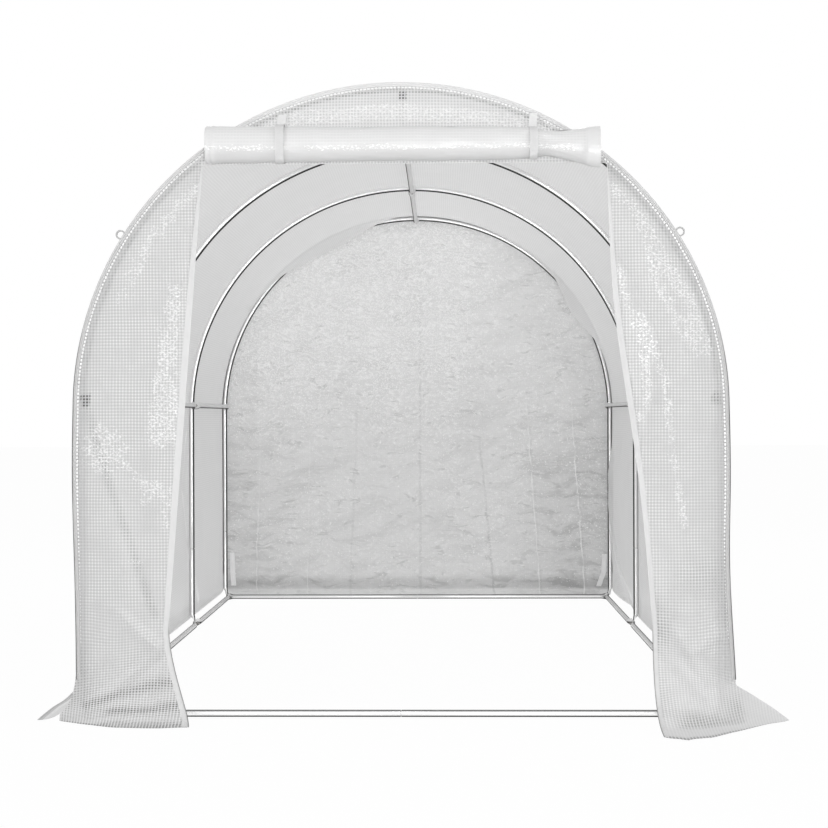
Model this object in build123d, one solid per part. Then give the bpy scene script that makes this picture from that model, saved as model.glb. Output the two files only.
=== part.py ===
from build123d import *
from math import cos, degrees, radians, sin, tan
import os

# A walk-in polytunnel greenhouse: four bent steel hoops on a base frame of bolted rails, three
# purlins, and a cloth cover with a doorway in front, its door rolled up over the opening.
# Millimetres. X runs across the tunnel, Y from the doorway (-) to the closed end (+), Z up.
# The origin is on the ground in the middle of the footprint.

# Driving dimensions: the tunnel
TUNNEL_WIDTH = 2000.0  # over the hoop legs
TUNNEL_LENGTH = 3000.0  # between the first and the last hoop, centre to centre
TUNNEL_HEIGHT = 1965.0  # over the tube of a hoop
BAYS = 3

# Driving dimensions: the steel tube
TUBE = 22.0  # outer diameter of every tube
TUBE_SIDES = 10  # flats round a tube
TUBE_WALL = 1.2
SPIGOT = 40.0  # length of the reduced end that slips into the next tube
LEG_JOINT_HEIGHT = 350.0  # where the bent upper tube slips over the leg
FLAT_WIDTH = 32.0  # width of a tube's end once it is pressed flat
TONGUE = 60.0  # length of the pressed end of a rail or purlin
PRESS_TAPER = 28.0  # length over which the round tube turns flat
FOOT_TONGUE = 32.0  # length of the pressed foot of a leg
CLIPPED_CORNER = 9.0  # at the tip of a pressed end
WALL_PURLIN_ANGLE = 1.5  # degrees above the spring of the arch
PURLIN_GAP = 0.2  # a flat end bolted to a curved tube touches it only along a line
BAR_INSET = 30.0  # the end bars stand this far inside the end hoops
BEND_RADIUS = 5.0  # inside radius where the end bars' flat ends turn

# Driving dimensions: the cover
CLOTH = 3.0
CLOTH_GAP = 0.3  # between the cover and the tubes that carry it
LINTEL_DEPTH = 250.0  # from the top of the hoop down to the top of the doorway
DOOR_TOP_WIDTH = 1240.0
DOOR_FOOT_WIDTH = 1480.0
SIDE_FLARE = 100.0  # radius at which the cover's side turns out onto the ground
SIDE_FLAP = 50.0  # flat strip that lies on the ground beyond the flare
END_FLARE = 150.0
END_FLAP = 40.0
ROLL_HEIGHT = 116.0  # rolled-up door
ROLL_DEPTH = 84.0
ROLL_LENGTH = 1200.0
TIES_AT = (-360.0, 410.0)  # where the tie straps are along the roll, from the middle
TIE_WIDTH = 25.0
TIE_TAIL = 42.0  # strap above the roll, sewn to the panel
STRAP = 2.0
ZIP_WIDTH = 20.0
LOOP_RADIUS = 13.0
LOOP_HOLE = 14.0  # diameter that takes a guy line
LOOP_WIDTH = 8.0
LOOP_ANGLE = 32.0  # degrees above the spring of the arch
LOOP_BASE = 30.0

# Worked out from those
BAY = TUNNEL_LENGTH / BAYS
END = TUNNEL_LENGTH / 2
HOOP_RADIUS = (TUNNEL_WIDTH - TUBE) / 2
SPRING = TUNNEL_HEIGHT - TUBE / 2 - HOOP_RADIUS
SPIGOT_WIDTH = TUBE - 2 * TUBE_WALL
PRESSED = 2 * TUBE_WALL  # two walls squeezed together
INNER_FACE = HOOP_RADIUS - TUBE / 2  # the side of a leg that the rails are bolted to
RAIL_LINE = INNER_FACE - TUBE / 2
PURLIN_LINE = RAIL_LINE - PURLIN_GAP
RAIL_HEIGHT = FLAT_WIDTH / 2
COVER_INSIDE = HOOP_RADIUS + TUBE / 2 + CLOTH_GAP
COVER_OUTSIDE = COVER_INSIDE + CLOTH
COVER_END = END + FLAT_WIDTH / 2 + CLOTH_GAP
END_FACE = COVER_END + CLOTH
DOOR_TOP_HEIGHT = TUNNEL_HEIGHT - LINTEL_DEPTH
STATIONS = [-END + BAY * bay for bay in range(BAYS + 1)]
BAY_NAMES = ["front", "middle", "rear"] if BAYS == 3 else [f"bay_{bay + 1}" for bay in range(BAYS)]


def tube_section(across=TUBE):
    """The section of a tube, near enough round, with a flat towards +X and -X for what seats on it."""
    return RegularPolygon(across / 2, TUBE_SIDES, major_radius=False, rotation=180 / TUBE_SIDES)


def straight_tube(start, end, side, across=TUBE):
    """A tube between two points, with a flat towards side. Its bore is closed at both ends, so it
    is left solid."""
    run = Vector(end) - Vector(start)
    return extrude(Plane(origin=start, x_dir=side, z_dir=run) * tube_section(across), amount=run.length)


def arch_direction(angle):
    """Straight out from the arch on its right, at an angle above the spring line."""
    return Vector(cos(radians(angle)), 0, sin(radians(angle)))


def bent_tube(station, angle_from, angle_to, across=TUBE):
    """A stretch of the arch, from one angle above the spring line to another."""
    outward = arch_direction(angle_from)
    centre = Vector(0, station, SPRING)
    section_plane = Plane(
        origin=centre + outward * HOOP_RADIUS, x_dir=outward, z_dir=outward.cross(Vector(0, 1, 0))
    )
    arch_axis = Axis(centre, (0, -1, 0))
    return revolve(section_plane * tube_section(across), axis=arch_axis, revolution_arc=angle_to - angle_from)


def flat_tongue(plane, length, taper=0.0):
    """Pressed tube with clipped corners. It starts at the plane's origin, runs along its x axis
    and is as thick as two tube walls along its z axis. taper is how far it takes to widen."""
    half = FLAT_WIDTH / 2
    narrow = TUBE / 2 * tan(radians(180 / TUBE_SIDES))
    edge = [(0, -narrow), (taper, -half)] if taper else [(0, -half)]
    if length:
        edge += [(taper + length - CLIPPED_CORNER, -half), (taper + length, CLIPPED_CORNER - half)]
    outline = Polygon(*edge, *[(x, -y) for x, y in reversed(edge)], align=None)
    return extrude(plane * outline, amount=PRESSED)


def pressed_taper(root, layer=1):
    """Where a round tube turns flat. root is where it stops being round: its z axis runs out along
    the tube, and its x axis points at the hoop that the flat side is bolted to. Of two flat ends
    on one bolt, the further from the hoop is layer 2."""
    outer_face = TUBE / 2 - PRESSED * (layer - 1)
    inner_face = outer_face - PRESSED
    side_plane = Plane(origin=root.origin, x_dir=root.x_dir, z_dir=root.x_dir.cross(root.z_dir))
    squeezed = Polygon(
        (-TUBE / 2, 0), (TUBE / 2, 0), (outer_face, PRESS_TAPER), (inner_face, PRESS_TAPER), align=None
    )
    round_tube = extrude(root * tube_section(), amount=PRESS_TAPER)
    return round_tube & extrude(side_plane * squeezed, amount=FLAT_WIDTH, both=True)


def pressed_end(root, length, layer=1):
    """A tube's end pressed flat and lapped under a bolt, from the same root as pressed_taper."""
    face = root.origin + root.x_dir * (TUBE / 2 - PRESSED * layer)
    plate = Plane(origin=face, x_dir=root.z_dir, z_dir=root.x_dir)
    return pressed_taper(root, layer) + flat_tongue(plate, length, PRESS_TAPER)


def lapped_bar(side, axis_point, first, last, front_layer, rear_layer):
    """A rail or purlin along Y whose flat ends lap the next one's at a hoop. side points at the
    hoops, and first and last are the stations of the bolts."""
    reach = TONGUE - FLAT_WIDTH / 2 + PRESS_TAPER  # from the end of the round tube to the bolt
    start = Vector(axis_point[0], first + reach, axis_point[1])
    end = Vector(axis_point[0], last - reach, axis_point[1])
    bar = straight_tube(start, end, side)
    bar += pressed_end(Plane(origin=start, x_dir=side, z_dir=(0, -1, 0)), TONGUE, front_layer)
    bar += pressed_end(Plane(origin=end, x_dir=side, z_dir=(0, 1, 0)), TONGUE, rear_layer)
    return bar


def arch_purlin(angle, first, last, front_layer):
    """A purlin under the arch, at an angle above the spring line."""
    outward = arch_direction(angle)
    axis_point = (outward.X * PURLIN_LINE, SPRING + outward.Z * PURLIN_LINE)
    return lapped_bar(outward, axis_point, first, last, front_layer, 1)


def hoop_leg(station):
    """The right-hand leg: a pressed foot outside the base rail, and a spigot at the top."""
    ankle = Vector(HOOP_RADIUS, station, FOOT_TONGUE + PRESS_TAPER)
    joint = Vector(HOOP_RADIUS, station, LEG_JOINT_HEIGHT)
    spigot_top = joint + Vector(0, 0, SPIGOT)
    leg = straight_tube(ankle, joint, (1, 0, 0)) + straight_tube(joint, spigot_top, (1, 0, 0), SPIGOT_WIDTH)
    return leg + pressed_end(Plane(origin=ankle, x_dir=(-1, 0, 0), z_dir=(0, 0, -1)), FOOT_TONGUE)


def hoop_upper_tube(station, has_spigot):
    """The right-hand upper tube, straight up to the spring line and bent to the crown, where one
    side has a spigot that slips into the other. It slips over the leg below."""
    joint = Vector(HOOP_RADIUS, station, LEG_JOINT_HEIGHT)
    spring_point = Vector(HOOP_RADIUS, station, SPRING)
    spigot_angle = degrees(SPIGOT / HOOP_RADIUS)
    tube = straight_tube(joint, spring_point, (1, 0, 0)) + bent_tube(station, 0, 90)
    tube -= straight_tube(joint, joint + Vector(0, 0, SPIGOT), (1, 0, 0), SPIGOT_WIDTH)
    if has_spigot:
        return tube + bent_tube(station, 90, 90 + spigot_angle, SPIGOT_WIDTH)
    return tube - bent_tube(station, 90 - spigot_angle, 90, SPIGOT_WIDTH)


def end_bar_half(has_spigot):
    """The right half of the rear base bar. Its outer end is pressed flat and turned back along
    the side rail's own flat end, to share the bolt through the leg's foot."""
    bar_line = END - BAR_INSET
    tongue_face = INNER_FACE - 2 * PRESSED
    bend_reach = BEND_RADIUS + PRESSED
    middle = Vector(0, bar_line, RAIL_HEIGHT)
    bar_end = tongue_face - BEND_RADIUS - PRESS_TAPER
    root = Plane(origin=(bar_end, bar_line, RAIL_HEIGHT), x_dir=(0, 1, 0), z_dir=(1, 0, 0))
    bar = straight_tube(middle, root.origin, (0, 1, 0)) + pressed_end(root, 0)

    bend_centre = Pos(tongue_face - BEND_RADIUS, bar_line + TUBE / 2 + BEND_RADIUS, 0)
    bend = Circle(bend_reach) - Circle(BEND_RADIUS)
    bend &= Pos(bend_reach / 2, -bend_reach / 2) * Rectangle(bend_reach, bend_reach)
    bar += extrude(bend_centre * bend, amount=FLAT_WIDTH)

    tongue_start = bar_line + TUBE / 2 + BEND_RADIUS
    tongue_plane = Plane(origin=(tongue_face, tongue_start, RAIL_HEIGHT), x_dir=(0, 1, 0), z_dir=(1, 0, 0))
    bar += flat_tongue(tongue_plane, END + FLAT_WIDTH / 2 - tongue_start)
    if has_spigot:
        return bar + straight_tube(middle, middle - Vector(SPIGOT, 0, 0), (0, 1, 0), SPIGOT_WIDTH)
    return bar - straight_tube(middle, middle + Vector(SPIGOT, 0, 0), (0, 1, 0), SPIGOT_WIDTH)


def arch_face(radius, foot_height):
    """The tunnel's outline seen from an end, in X and Z, down to foot_height."""
    straight = SPRING - foot_height
    walls = Pos(0, foot_height + straight / 2) * Rectangle(2 * radius, straight)
    return walls + upper_half(radius)


def upper_half(radius):
    """The half disc above the spring line."""
    disc = Pos(0, SPRING) * Circle(radius)
    return disc & Pos(0, SPRING + radius / 2) * Rectangle(2 * radius, radius)


def end_sheet(outline, near, thickness=CLOTH):
    """Cloth across the tunnel, from its outline in X and Z. near is its face towards -Y."""
    far_face = Plane(origin=(0, near + thickness, 0), x_dir=(1, 0, 0), z_dir=(0, -1, 0))
    return extrude(far_face * outline, amount=thickness)


def along_tunnel(outline):
    """Cloth along the whole tunnel, from its section in X and Z."""
    return end_sheet(outline, -COVER_END, 2 * COVER_END)


def flare_section(radius, flap):
    """Section of a skirt: cloth that comes straight down at x = 0 and turns out onto the ground."""
    turn = Pos(radius, radius) * (Circle(radius) - Circle(radius - CLOTH))
    turn &= Pos(radius / 2, radius / 2) * Rectangle(radius, radius)
    return turn + Pos(radius + flap / 2, CLOTH / 2) * Rectangle(flap, CLOTH)


def door_edge(height):
    """Half the doorway's width at a height."""
    rise = (height - END_FLARE) / (DOOR_TOP_HEIGHT - END_FLARE)
    return DOOR_FOOT_WIDTH / 2 + (DOOR_TOP_WIDTH - DOOR_FOOT_WIDTH) / 2 * rise


def front_panel():
    """The sheet on the right of the doorway."""
    beside_door = Polygon(
        (door_edge(END_FLARE), END_FLARE),
        (TUNNEL_WIDTH, END_FLARE),
        (TUNNEL_WIDTH, DOOR_TOP_HEIGHT),
        (door_edge(DOOR_TOP_HEIGHT), DOOR_TOP_HEIGHT),
        align=None,
    )
    return end_sheet(arch_face(COVER_OUTSIDE, END_FLARE) & beside_door, -END_FACE)


def lintel_panel():
    """The sheet between the doorway and the crown of the arch."""
    above_door = Pos(0, DOOR_TOP_HEIGHT + TUNNEL_HEIGHT / 2) * Rectangle(2 * TUNNEL_WIDTH, TUNNEL_HEIGHT)
    return end_sheet(upper_half(COVER_OUTSIDE) & above_door, -END_FACE)


def zip_tape():
    """The tape sewn along the right-hand edge of the doorway."""
    strip = Polygon(
        (door_edge(END_FLARE), END_FLARE),
        (door_edge(END_FLARE) + ZIP_WIDTH, END_FLARE),
        (door_edge(DOOR_TOP_HEIGHT) + ZIP_WIDTH, DOOR_TOP_HEIGHT),
        (door_edge(DOOR_TOP_HEIGHT), DOOR_TOP_HEIGHT),
        align=None,
    )
    return end_sheet(strip, -END_FACE - STRAP, STRAP)


def end_skirt(x_from, x_to):
    """The foot of the rear sheet, turned out behind the tunnel between two places across it."""
    section = flare_section(END_FLARE, END_FLAP)
    section_plane = Plane(origin=(x_from, COVER_END, 0), x_dir=(0, 1, 0), z_dir=(1, 0, 0))
    return extrude(section_plane * section, amount=x_to - x_from)


def roll_plane(x=0.0):
    """Across the rolled door at a place along it, centred on it, with Y across and Z up."""
    roll_line = -END_FACE - STRAP - 2 * CLOTH_GAP - ROLL_DEPTH / 2
    return Plane(origin=(x, roll_line, DOOR_TOP_HEIGHT + ROLL_HEIGHT / 2), x_dir=(0, 1, 0), z_dir=(1, 0, 0))


def roll_section(outset=0.0):
    """The flattened round of the rolled door, or a ring round it."""
    return SlotOverall(ROLL_HEIGHT + 2 * outset, ROLL_DEPTH + 2 * outset, rotation=90)


def rolled_door():
    """The door rolled up tight over the opening."""
    return extrude(roll_plane() * roll_section(), amount=ROLL_LENGTH / 2, both=True)


def tie_strap(x):
    """A strap round the rolled door at a place along it, its tail sewn to the panel above."""
    ring = roll_section(CLOTH_GAP + STRAP) - roll_section(CLOTH_GAP)
    tail_length = ROLL_HEIGHT / 2 + TIE_TAIL
    tail = Pos(ROLL_DEPTH / 2 + CLOTH_GAP + STRAP / 2, tail_length / 2) * Rectangle(STRAP, tail_length)
    return extrude(roll_plane(x) * (ring + tail), amount=TIE_WIDTH / 2, both=True)


def guy_loop():
    """The loop at the front of the roof's right side, for a guy line."""
    outward = arch_direction(LOOP_ANGLE)
    foot = Vector(0, -END + LOOP_WIDTH / 2, SPRING) + outward * (COVER_OUTSIDE + CLOTH_GAP)
    plane = Plane(origin=foot, x_dir=outward, z_dir=(0, -1, 0))
    outline = Pos(STRAP / 2, 0) * Rectangle(STRAP, LOOP_BASE)
    outline += Pos(LOOP_RADIUS, 0) * RegularPolygon(LOOP_RADIUS, 8, major_radius=False, rotation=22.5)
    outline -= Pos(LOOP_RADIUS, 0) * Circle(LOOP_HOLE / 2)
    return extrude(plane * outline, amount=LOOP_WIDTH)


def left(shape):
    """The same piece on the other side of the tunnel."""
    return mirror(shape, about=Plane.YZ)


def turned(shape):
    """The same piece at the other end of the tunnel."""
    return mirror(shape, about=Plane.XZ)


def steel_frame():
    """Hoops, base rails and purlins, by name."""
    pieces = {}
    for number, station in enumerate(STATIONS, start=1):
        leg = hoop_leg(station)
        pieces[f"hoop_{number}_legs"] = [leg, left(leg)]
        pieces[f"hoop_{number}_arc_left"] = [left(hoop_upper_tube(station, True))]
        pieces[f"hoop_{number}_arc_right"] = [hoop_upper_tube(station, False)]
    for bay, name in enumerate(BAY_NAMES):
        first, last = STATIONS[bay], STATIONS[bay + 1]
        front_layer = 1 if bay == 0 else 2
        rail = lapped_bar(Vector(1, 0, 0), (RAIL_LINE, RAIL_HEIGHT), first, last, front_layer, 1)
        purlin = arch_purlin(WALL_PURLIN_ANGLE, first, last, front_layer)
        ridge = arch_purlin(90, first, last, front_layer)
        pieces[f"base_rails_{name}"] = [rail, left(rail)]
        pieces[f"side_purlins_{name}"] = [purlin, left(purlin)]
        pieces[f"ridge_purlin_{name}"] = [ridge]
    rear_right = end_bar_half(True)
    rear_left = left(end_bar_half(False))
    pieces["rear_bar_right"] = [rear_right]
    pieces["rear_bar_left"] = [rear_left]
    pieces["front_bar_right"] = [turned(rear_right)]
    pieces["front_bar_left"] = [turned(rear_left)]
    return pieces


def cover():
    """Every sheet of the cover, with the rolled door and what is sewn on, by name."""
    wall_height = SPRING - SIDE_FLARE
    wall = along_tunnel(
        Pos(COVER_INSIDE + CLOTH / 2, SIDE_FLARE + wall_height / 2) * Rectangle(CLOTH, wall_height)
    )
    shell = upper_half(COVER_OUTSIDE) - upper_half(COVER_INSIDE)
    right_half = Pos(TUNNEL_WIDTH / 2, TUNNEL_HEIGHT / 2) * Rectangle(TUNNEL_WIDTH, 2 * TUNNEL_HEIGHT)
    roof = along_tunnel(shell & right_half)
    side_skirt = along_tunnel(Pos(COVER_INSIDE, 0) * flare_section(SIDE_FLARE, SIDE_FLAP))
    rear_skirt = end_skirt(-COVER_OUTSIDE, COVER_OUTSIDE)
    front_skirt = turned(end_skirt(door_edge(END_FLARE), COVER_OUTSIDE))
    panel = front_panel()
    tape = zip_tape()
    loop = guy_loop()
    return {
        "wall_left": [left(wall)],
        "wall_right": [wall],
        "roof_left": [left(roof)],
        "roof_right": [roof],
        "side_skirt_left": [left(side_skirt)],
        "side_skirt_right": [side_skirt],
        "rear_panel": [end_sheet(arch_face(COVER_OUTSIDE, END_FLARE), COVER_END)],
        "rear_skirt": [rear_skirt],
        "front_panel_left": [left(panel)],
        "front_panel_right": [panel],
        "front_skirts": [front_skirt, left(front_skirt)],
        "lintel_panel": [lintel_panel()],
        "zip_tapes": [tape, left(tape)],
        "rolled_door": [rolled_door()],
        "door_ties": [tie_strap(x) for x in TIES_AT],
        "guy_loops_front": [loop, left(loop)],
        "guy_loops_rear": [turned(loop), turned(left(loop))],
    }


def main():
    os.makedirs("parts", exist_ok=True)
    for name, solids in {**steel_frame(), **cover()}.items():
        shape = solids[0] if len(solids) == 1 else Compound(children=solids)
        export_step(shape, f"parts/{name}.step")


main()
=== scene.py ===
from math import cos, hypot, pi, radians, sin

import bmesh
import bpy
import numpy as np
from mathutils import Matrix, Vector


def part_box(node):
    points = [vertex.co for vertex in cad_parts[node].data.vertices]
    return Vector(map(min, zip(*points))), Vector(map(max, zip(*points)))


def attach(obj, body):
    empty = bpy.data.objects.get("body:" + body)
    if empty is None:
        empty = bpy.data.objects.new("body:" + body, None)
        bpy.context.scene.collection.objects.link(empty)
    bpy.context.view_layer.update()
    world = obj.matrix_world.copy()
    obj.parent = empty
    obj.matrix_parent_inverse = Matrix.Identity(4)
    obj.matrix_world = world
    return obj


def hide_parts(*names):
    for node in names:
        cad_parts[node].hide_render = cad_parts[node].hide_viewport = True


# A walk-in polytunnel greenhouse, dressed round its steel frame. Metres. X runs across the tunnel,
# Y from the doorway (-) to the closed end (+), Z up.

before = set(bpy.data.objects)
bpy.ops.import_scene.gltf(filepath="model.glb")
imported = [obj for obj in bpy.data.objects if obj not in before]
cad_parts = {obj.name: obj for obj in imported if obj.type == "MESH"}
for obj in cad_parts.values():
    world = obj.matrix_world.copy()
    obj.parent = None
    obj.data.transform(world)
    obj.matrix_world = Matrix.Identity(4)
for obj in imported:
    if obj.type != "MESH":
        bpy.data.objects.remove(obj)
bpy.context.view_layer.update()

# Tube and fixings
TUBE = 0.022
FLAT = 0.032  # width of a tube's end pressed flat
PRESSED = 0.0024  # its thickness
TAPER = 0.028
TONGUE = 0.060
TIP = ((0.0, 0.018), (0.004, 0.008), (0.009, 0.0))  # from a pressed end's tip, and how much narrower
HALF_GAP = 0.0006  # half the gap between two tubes' ends
END_BAR_INSET = 0.030

# The frame's own measurements
HOOPS = (1, 2, 3, 4)
BAYS = ("front", "middle", "rear")
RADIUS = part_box("hoop_2_arc_right")[1].x  # of the arch, over the tubes
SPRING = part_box("hoop_2_arc_right")[1].z - RADIUS  # where the legs turn into the arch
STATIONS = [(low.y + high.y) / 2 for low, high in (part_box(f"hoop_{n}_legs") for n in HOOPS)]
LEG_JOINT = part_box("hoop_2_arc_right")[0].z
PURLIN_HEIGHT = (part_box("side_purlins_front")[0].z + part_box("side_purlins_front")[1].z) / 2
BAY = STATIONS[1] - STATIONS[0]
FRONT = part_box("lintel_panel")[0].y  # face of the front sheet
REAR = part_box("rear_panel")[1].y
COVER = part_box("roof_right")[1].x - 0.0015  # radius of the cover's cloth, midway through it
SEAM = RADIUS - TUBE / 2 - 0.014  # radius at which the end sheets press on their hoops
DOOR_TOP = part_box("lintel_panel")[0].z
DOOR_TOP_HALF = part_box("front_panel_right")[0].x
SKIRT_SPREAD = 0.263  # from the doorway's foot out to the end of a front skirt
DOOR_FOOT_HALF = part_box("front_skirts")[1].x - SKIRT_SPREAD
SIDE_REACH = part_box("side_skirt_right")[1].x
ROLL_LOW, ROLL_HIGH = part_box("rolled_door")
ROLL_MIDDLE = (ROLL_LOW.y + ROLL_HIGH.y) / 2
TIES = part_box("door_ties")

# Cloth
MESH_PITCH = 0.0098  # from one reinforcing yarn to the next
# Cloth marks: crumpling, with painted glints laid on it; doubled cloth, with light also painted along
# folds; and painted shade.
MARKS = ("crumple", "doubled", "touching")  # what a cloth piece's mesh says about each of its points
SHEET_TURN = 0.15  # height at which the end sheets start to turn out at the doorway and the rear
TAPE = 0.017
WALL = radians(89.9)  # angle from the crown beyond which the cover is wall

# Where the rear sheet was folded: how far right its fold meets the ground, how far it leans right on
# the way up, how high it reaches, and how strong the painted light on its crest and the painted
# shade in its hollow are
REAR_FOLDS = (
    (-0.835, 0.03, 0.85, 0.6, 0.2),
    (-0.570, 0.02, 0.90, 0.4, 0.1),
    (-0.348, 0.04, 1.15, 0.0, 0.4),
    (0.017, 0.0, 1.80, 0.1, 0.7),
    (0.400, -0.094, 0.88, 0.0, 0.9),
    (0.636, -0.07, 1.10, 0.7, 0.3),
    (0.866, -0.072, 1.05, 1.0, 0.4),
)

# The welt's section from the cover round onto the end sheet: how far outside the cover, how far out
# from the end sheet, and how far across the flat tape
WELT = (
    (0.0015, -0.030, 0.0),
    (0.0030, -0.024, 0.006),
    (0.0032, -0.012, 0.018),
    (0.0022, -0.0055, 0.025),
    (0.0012, -0.0005, 0.030),
    (-0.0012, 0.0020, 0.034),
    (-0.0032, 0.0026, 0.037),
    (-0.0048, 0.0022, 0.040),
    (-0.0058, 0.0006, 0.042),
    (-0.0068, 0.0022, 0.044),
    (-0.0090, 0.0030, 0.048),
    (-0.0108, 0.0022, 0.051),
    (-0.0122, 0.0006, 0.054),
)

# The foot of each front sheet, left and right: its hem on the ground from the doorway out, as how
# far across and how far out from the sheet; how high the sheet starts to turn out at the doorway
# and at the arch; how full its curve down to the ground is; and how far across the side hem
# beside it reaches
FEET = {
    -1: {
        "hem": [(0.634, 0.105), (0.72, 0.118), (0.86, 0.108), (0.97, 0.06), (1.052, 0.010)],
        "turn": (0.30, 0.22),
        "curl": 0.30,
        "tip": 1.12,
    },
    1: {
        "hem": [(0.772, 0.235), (0.835, 0.268), (0.91, 0.240), (1.01, 0.160), (1.19, -0.004)],
        "turn": (0.30, 0.165),
        "curl": 0.10,
        "tip": 1.19,
    },
}


# ---------------------------------------------------------------- finishes


class Amount:
    """A number, colour or direction that varies over a surface. Sums written with it add nodes."""

    def __init__(self, finish, socket):
        self.finish, self.socket = finish, socket

    def math(self, operation, *values):
        return self.finish.node("Math", {"operation": operation}, dict(enumerate(values)))

    def __add__(self, other):
        return self.math("ADD", self, other)

    def __sub__(self, other):
        return self.math("SUBTRACT", self, other)

    def __mul__(self, other):
        return self.math("MULTIPLY", self, other)

    def __truediv__(self, other):
        return self.math("DIVIDE", self, other)

    def __rsub__(self, other):
        return self.math("SUBTRACT", other, self)

    __radd__, __rmul__ = __add__, __mul__

    def __abs__(self):
        return self.math("ABSOLUTE", self)

    def either(self, other):
        return self.math("MAXIMUM", self, other)

    def between(self, low, high):
        """0 below low, 1 above high, and smooth between them."""
        settings = {"interpolation_type": "SMOOTHSTEP"}
        return self.finish.node("MapRange", settings, {"Value": self, "From Min": low, "From Max": high})

    def ribs(self, pitch):
        """Waves that far apart, from 0 to 1."""
        return self.math("SINE", self * (2 * pi / pitch)) * 0.5 + 0.5

    def yarns(self, low, high):
        """Reinforcing yarns, from 0 between two of them to 1 on each."""
        return (abs(self.math("FRACT", self / MESH_PITCH) - 0.5) * 2.0).between(low, high)


class Finish:
    """The nodes that make a material, or the surroundings."""

    def __init__(self, owner, kind="Material"):
        self.owner, self.kind = owner, kind
        owner.use_nodes = True
        self.tree = owner.node_tree
        self.tree.nodes.clear()

    def node(self, kind, settings, inputs, output=0):
        made = self.tree.nodes.new("ShaderNode" + kind)
        for name, value in settings.items():
            setattr(made, name, value)
        for name, value in inputs.items():
            if isinstance(value, Amount):
                self.tree.links.new(value.socket, made.inputs[name])
            else:
                made.inputs[name].default_value = value
        return Amount(self, made.outputs[output]) if made.outputs else None

    def part(self, pair, which):
        return self.node("SeparateXYZ", {}, {0: pair}, which)

    def stretched(self, pair, across, along):
        return self.node("VectorMath", {"operation": "MULTIPLY"}, {0: pair, 1: (across, along, 1.0)})

    def marked(self, name):
        """What a piece's mesh says about each of its points."""
        return self.node("Attribute", {"attribute_name": name}, {}, 2)

    def noise(self, pair, scale, detail=2.0, distortion=0.0):
        inputs = {"Vector": pair, "Scale": scale, "Detail": detail, "Distortion": distortion}
        return self.node("TexNoise", {"noise_dimensions": "3D"}, inputs)

    def mix(self, share, first, second):
        return self.node("Mix", {"data_type": "RGBA"}, {0: share, 6: first, 7: second}, 2)

    def paint(self, base, *coats):
        """A colour with greys laid over it in turn, each given by its share and its level."""
        for share, level in coats:
            base = self.mix(share, base, grey(level))
        return base

    def skin(self, colour, roughness, height, metallic=0.0):
        """An opaque surface, embossed by its height in metres."""
        bump = self.node("Bump", {}, {"Height": height, "Strength": 1.0, "Distance": 1.0})
        inputs = {"Base Color": colour, "Metallic": metallic, "Roughness": roughness, "Normal": bump}
        return self.node("BsdfPrincipled", {}, inputs)

    def glow(self, level):
        """Light that comes through from the other side."""
        return self.node("BsdfTranslucent", {}, {"Color": grey(level)})

    def blend(self, share, first, second):
        return self.node("MixShader", {}, {0: share, 1: first, 2: second})

    def seen(self):
        """1 where the camera looks, directly, in a reflection or through something clear."""
        camera, glossy, clear = (self.node("LightPath", {}, {}, which) for which in (0, 3, 6))
        return camera.either(glossy).either(clear)

    def use(self, shader):
        self.node("Output" + self.kind, {}, {"Surface": shader})
        return self.owner


def new_finish(name):
    """A new material's finish, and where each point is on the flat cloth or along the tube, in
    metres, as two numbers and a pair."""
    finish = Finish(bpy.data.materials.new(name))
    pair = finish.node("UVMap", {"uv_map": "flat"}, {})
    return finish, finish.part(pair, 0), finish.part(pair, 1), pair


def grey(level, tint=0.0):
    """A grey as a linear colour; tint warms it a little."""
    return (level * (1 + tint), level, level * (1 - tint), 1.0)


def grid_cloth(name, film=0.58, yarn=0.64, knot=1.0, through=0.40, grip=1.0, folded=0.60):
    """Clear sheeting laminated over a square grid of white yarns. Where it is crumpled, glints are
    painted on it as fine white specks, and less light comes through there; where it is doubled the
    grid is fainter and paler, and folds are painted lighter the same way; where it is marked,
    painted shade lies dark between the yarns. film, yarn, knot and folded are greys, folded being
    that of doubled cloth and painted folds, through is how much light comes through, and grip how
    hard the film is pressed round the yarns."""
    finish, u, v, pair = new_finish(name)
    crumple, doubled, touching = map(finish.marked, MARKS)
    drift = (finish.noise(pair, 5.0) - 0.5) * 0.006
    warp, weft = (u + drift).yarns(0.38, 0.74), (v - drift).yarns(0.38, 0.74)
    yarns, knots = warp.either(weft) * grip, warp * weft * grip
    worn = finish.noise(pair, 16.0, 3.0, 0.5).between(0.2, 0.6)
    stains = finish.noise(pair, 3.0, 3.0).between(0.35, 0.75)
    specks = finish.noise(finish.stretched(pair, 0.75, 1.2), 165.0, 1.0, 0.5)
    patches = finish.noise(finish.stretched(pair, 1.0, 0.8), 34.0, 2.0, 0.6)
    # Painted glints: white specks where the cloth is crumpled, which also let less light through.
    zone = (crumple * (patches * 3.0 - 0.5)).between(0.15, 0.95)
    painted_glint = (specks - 0.75 + zone * 0.23).between(0.0, 0.08)
    # Painted shade: dark between the yarns where the cloth is marked for it.
    shadow = touching * (1.0 - yarns * 0.8)
    colour = finish.paint(
        finish.mix(yarns, grey(film), grey(yarn)),
        (knots * worn, knot),
        (doubled * 0.6, folded),
        (shadow * 0.95, 0.02),
        (stains * 0.12, 0.80),
        (painted_glint * 0.85, 1.0),
    )
    height = yarns * (1.0 - doubled * 0.6) * 0.0003 + painted_glint * 0.0003 + patches * (crumple + 0.15) * 0.002
    skin = finish.skin(colour, 0.38 - painted_glint * 0.16, height)
    lit = (1.0 - shadow.either(painted_glint * 0.6)) * through
    hole = finish.node("BsdfTransparent", {}, {"Color": grey(1.0)})
    solid = 0.86 + yarns * 0.10 + doubled * 0.04 + painted_glint * 0.14
    return finish.use(finish.blend(solid, hole, finish.blend(lit, skin, finish.glow(0.90))))


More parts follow.
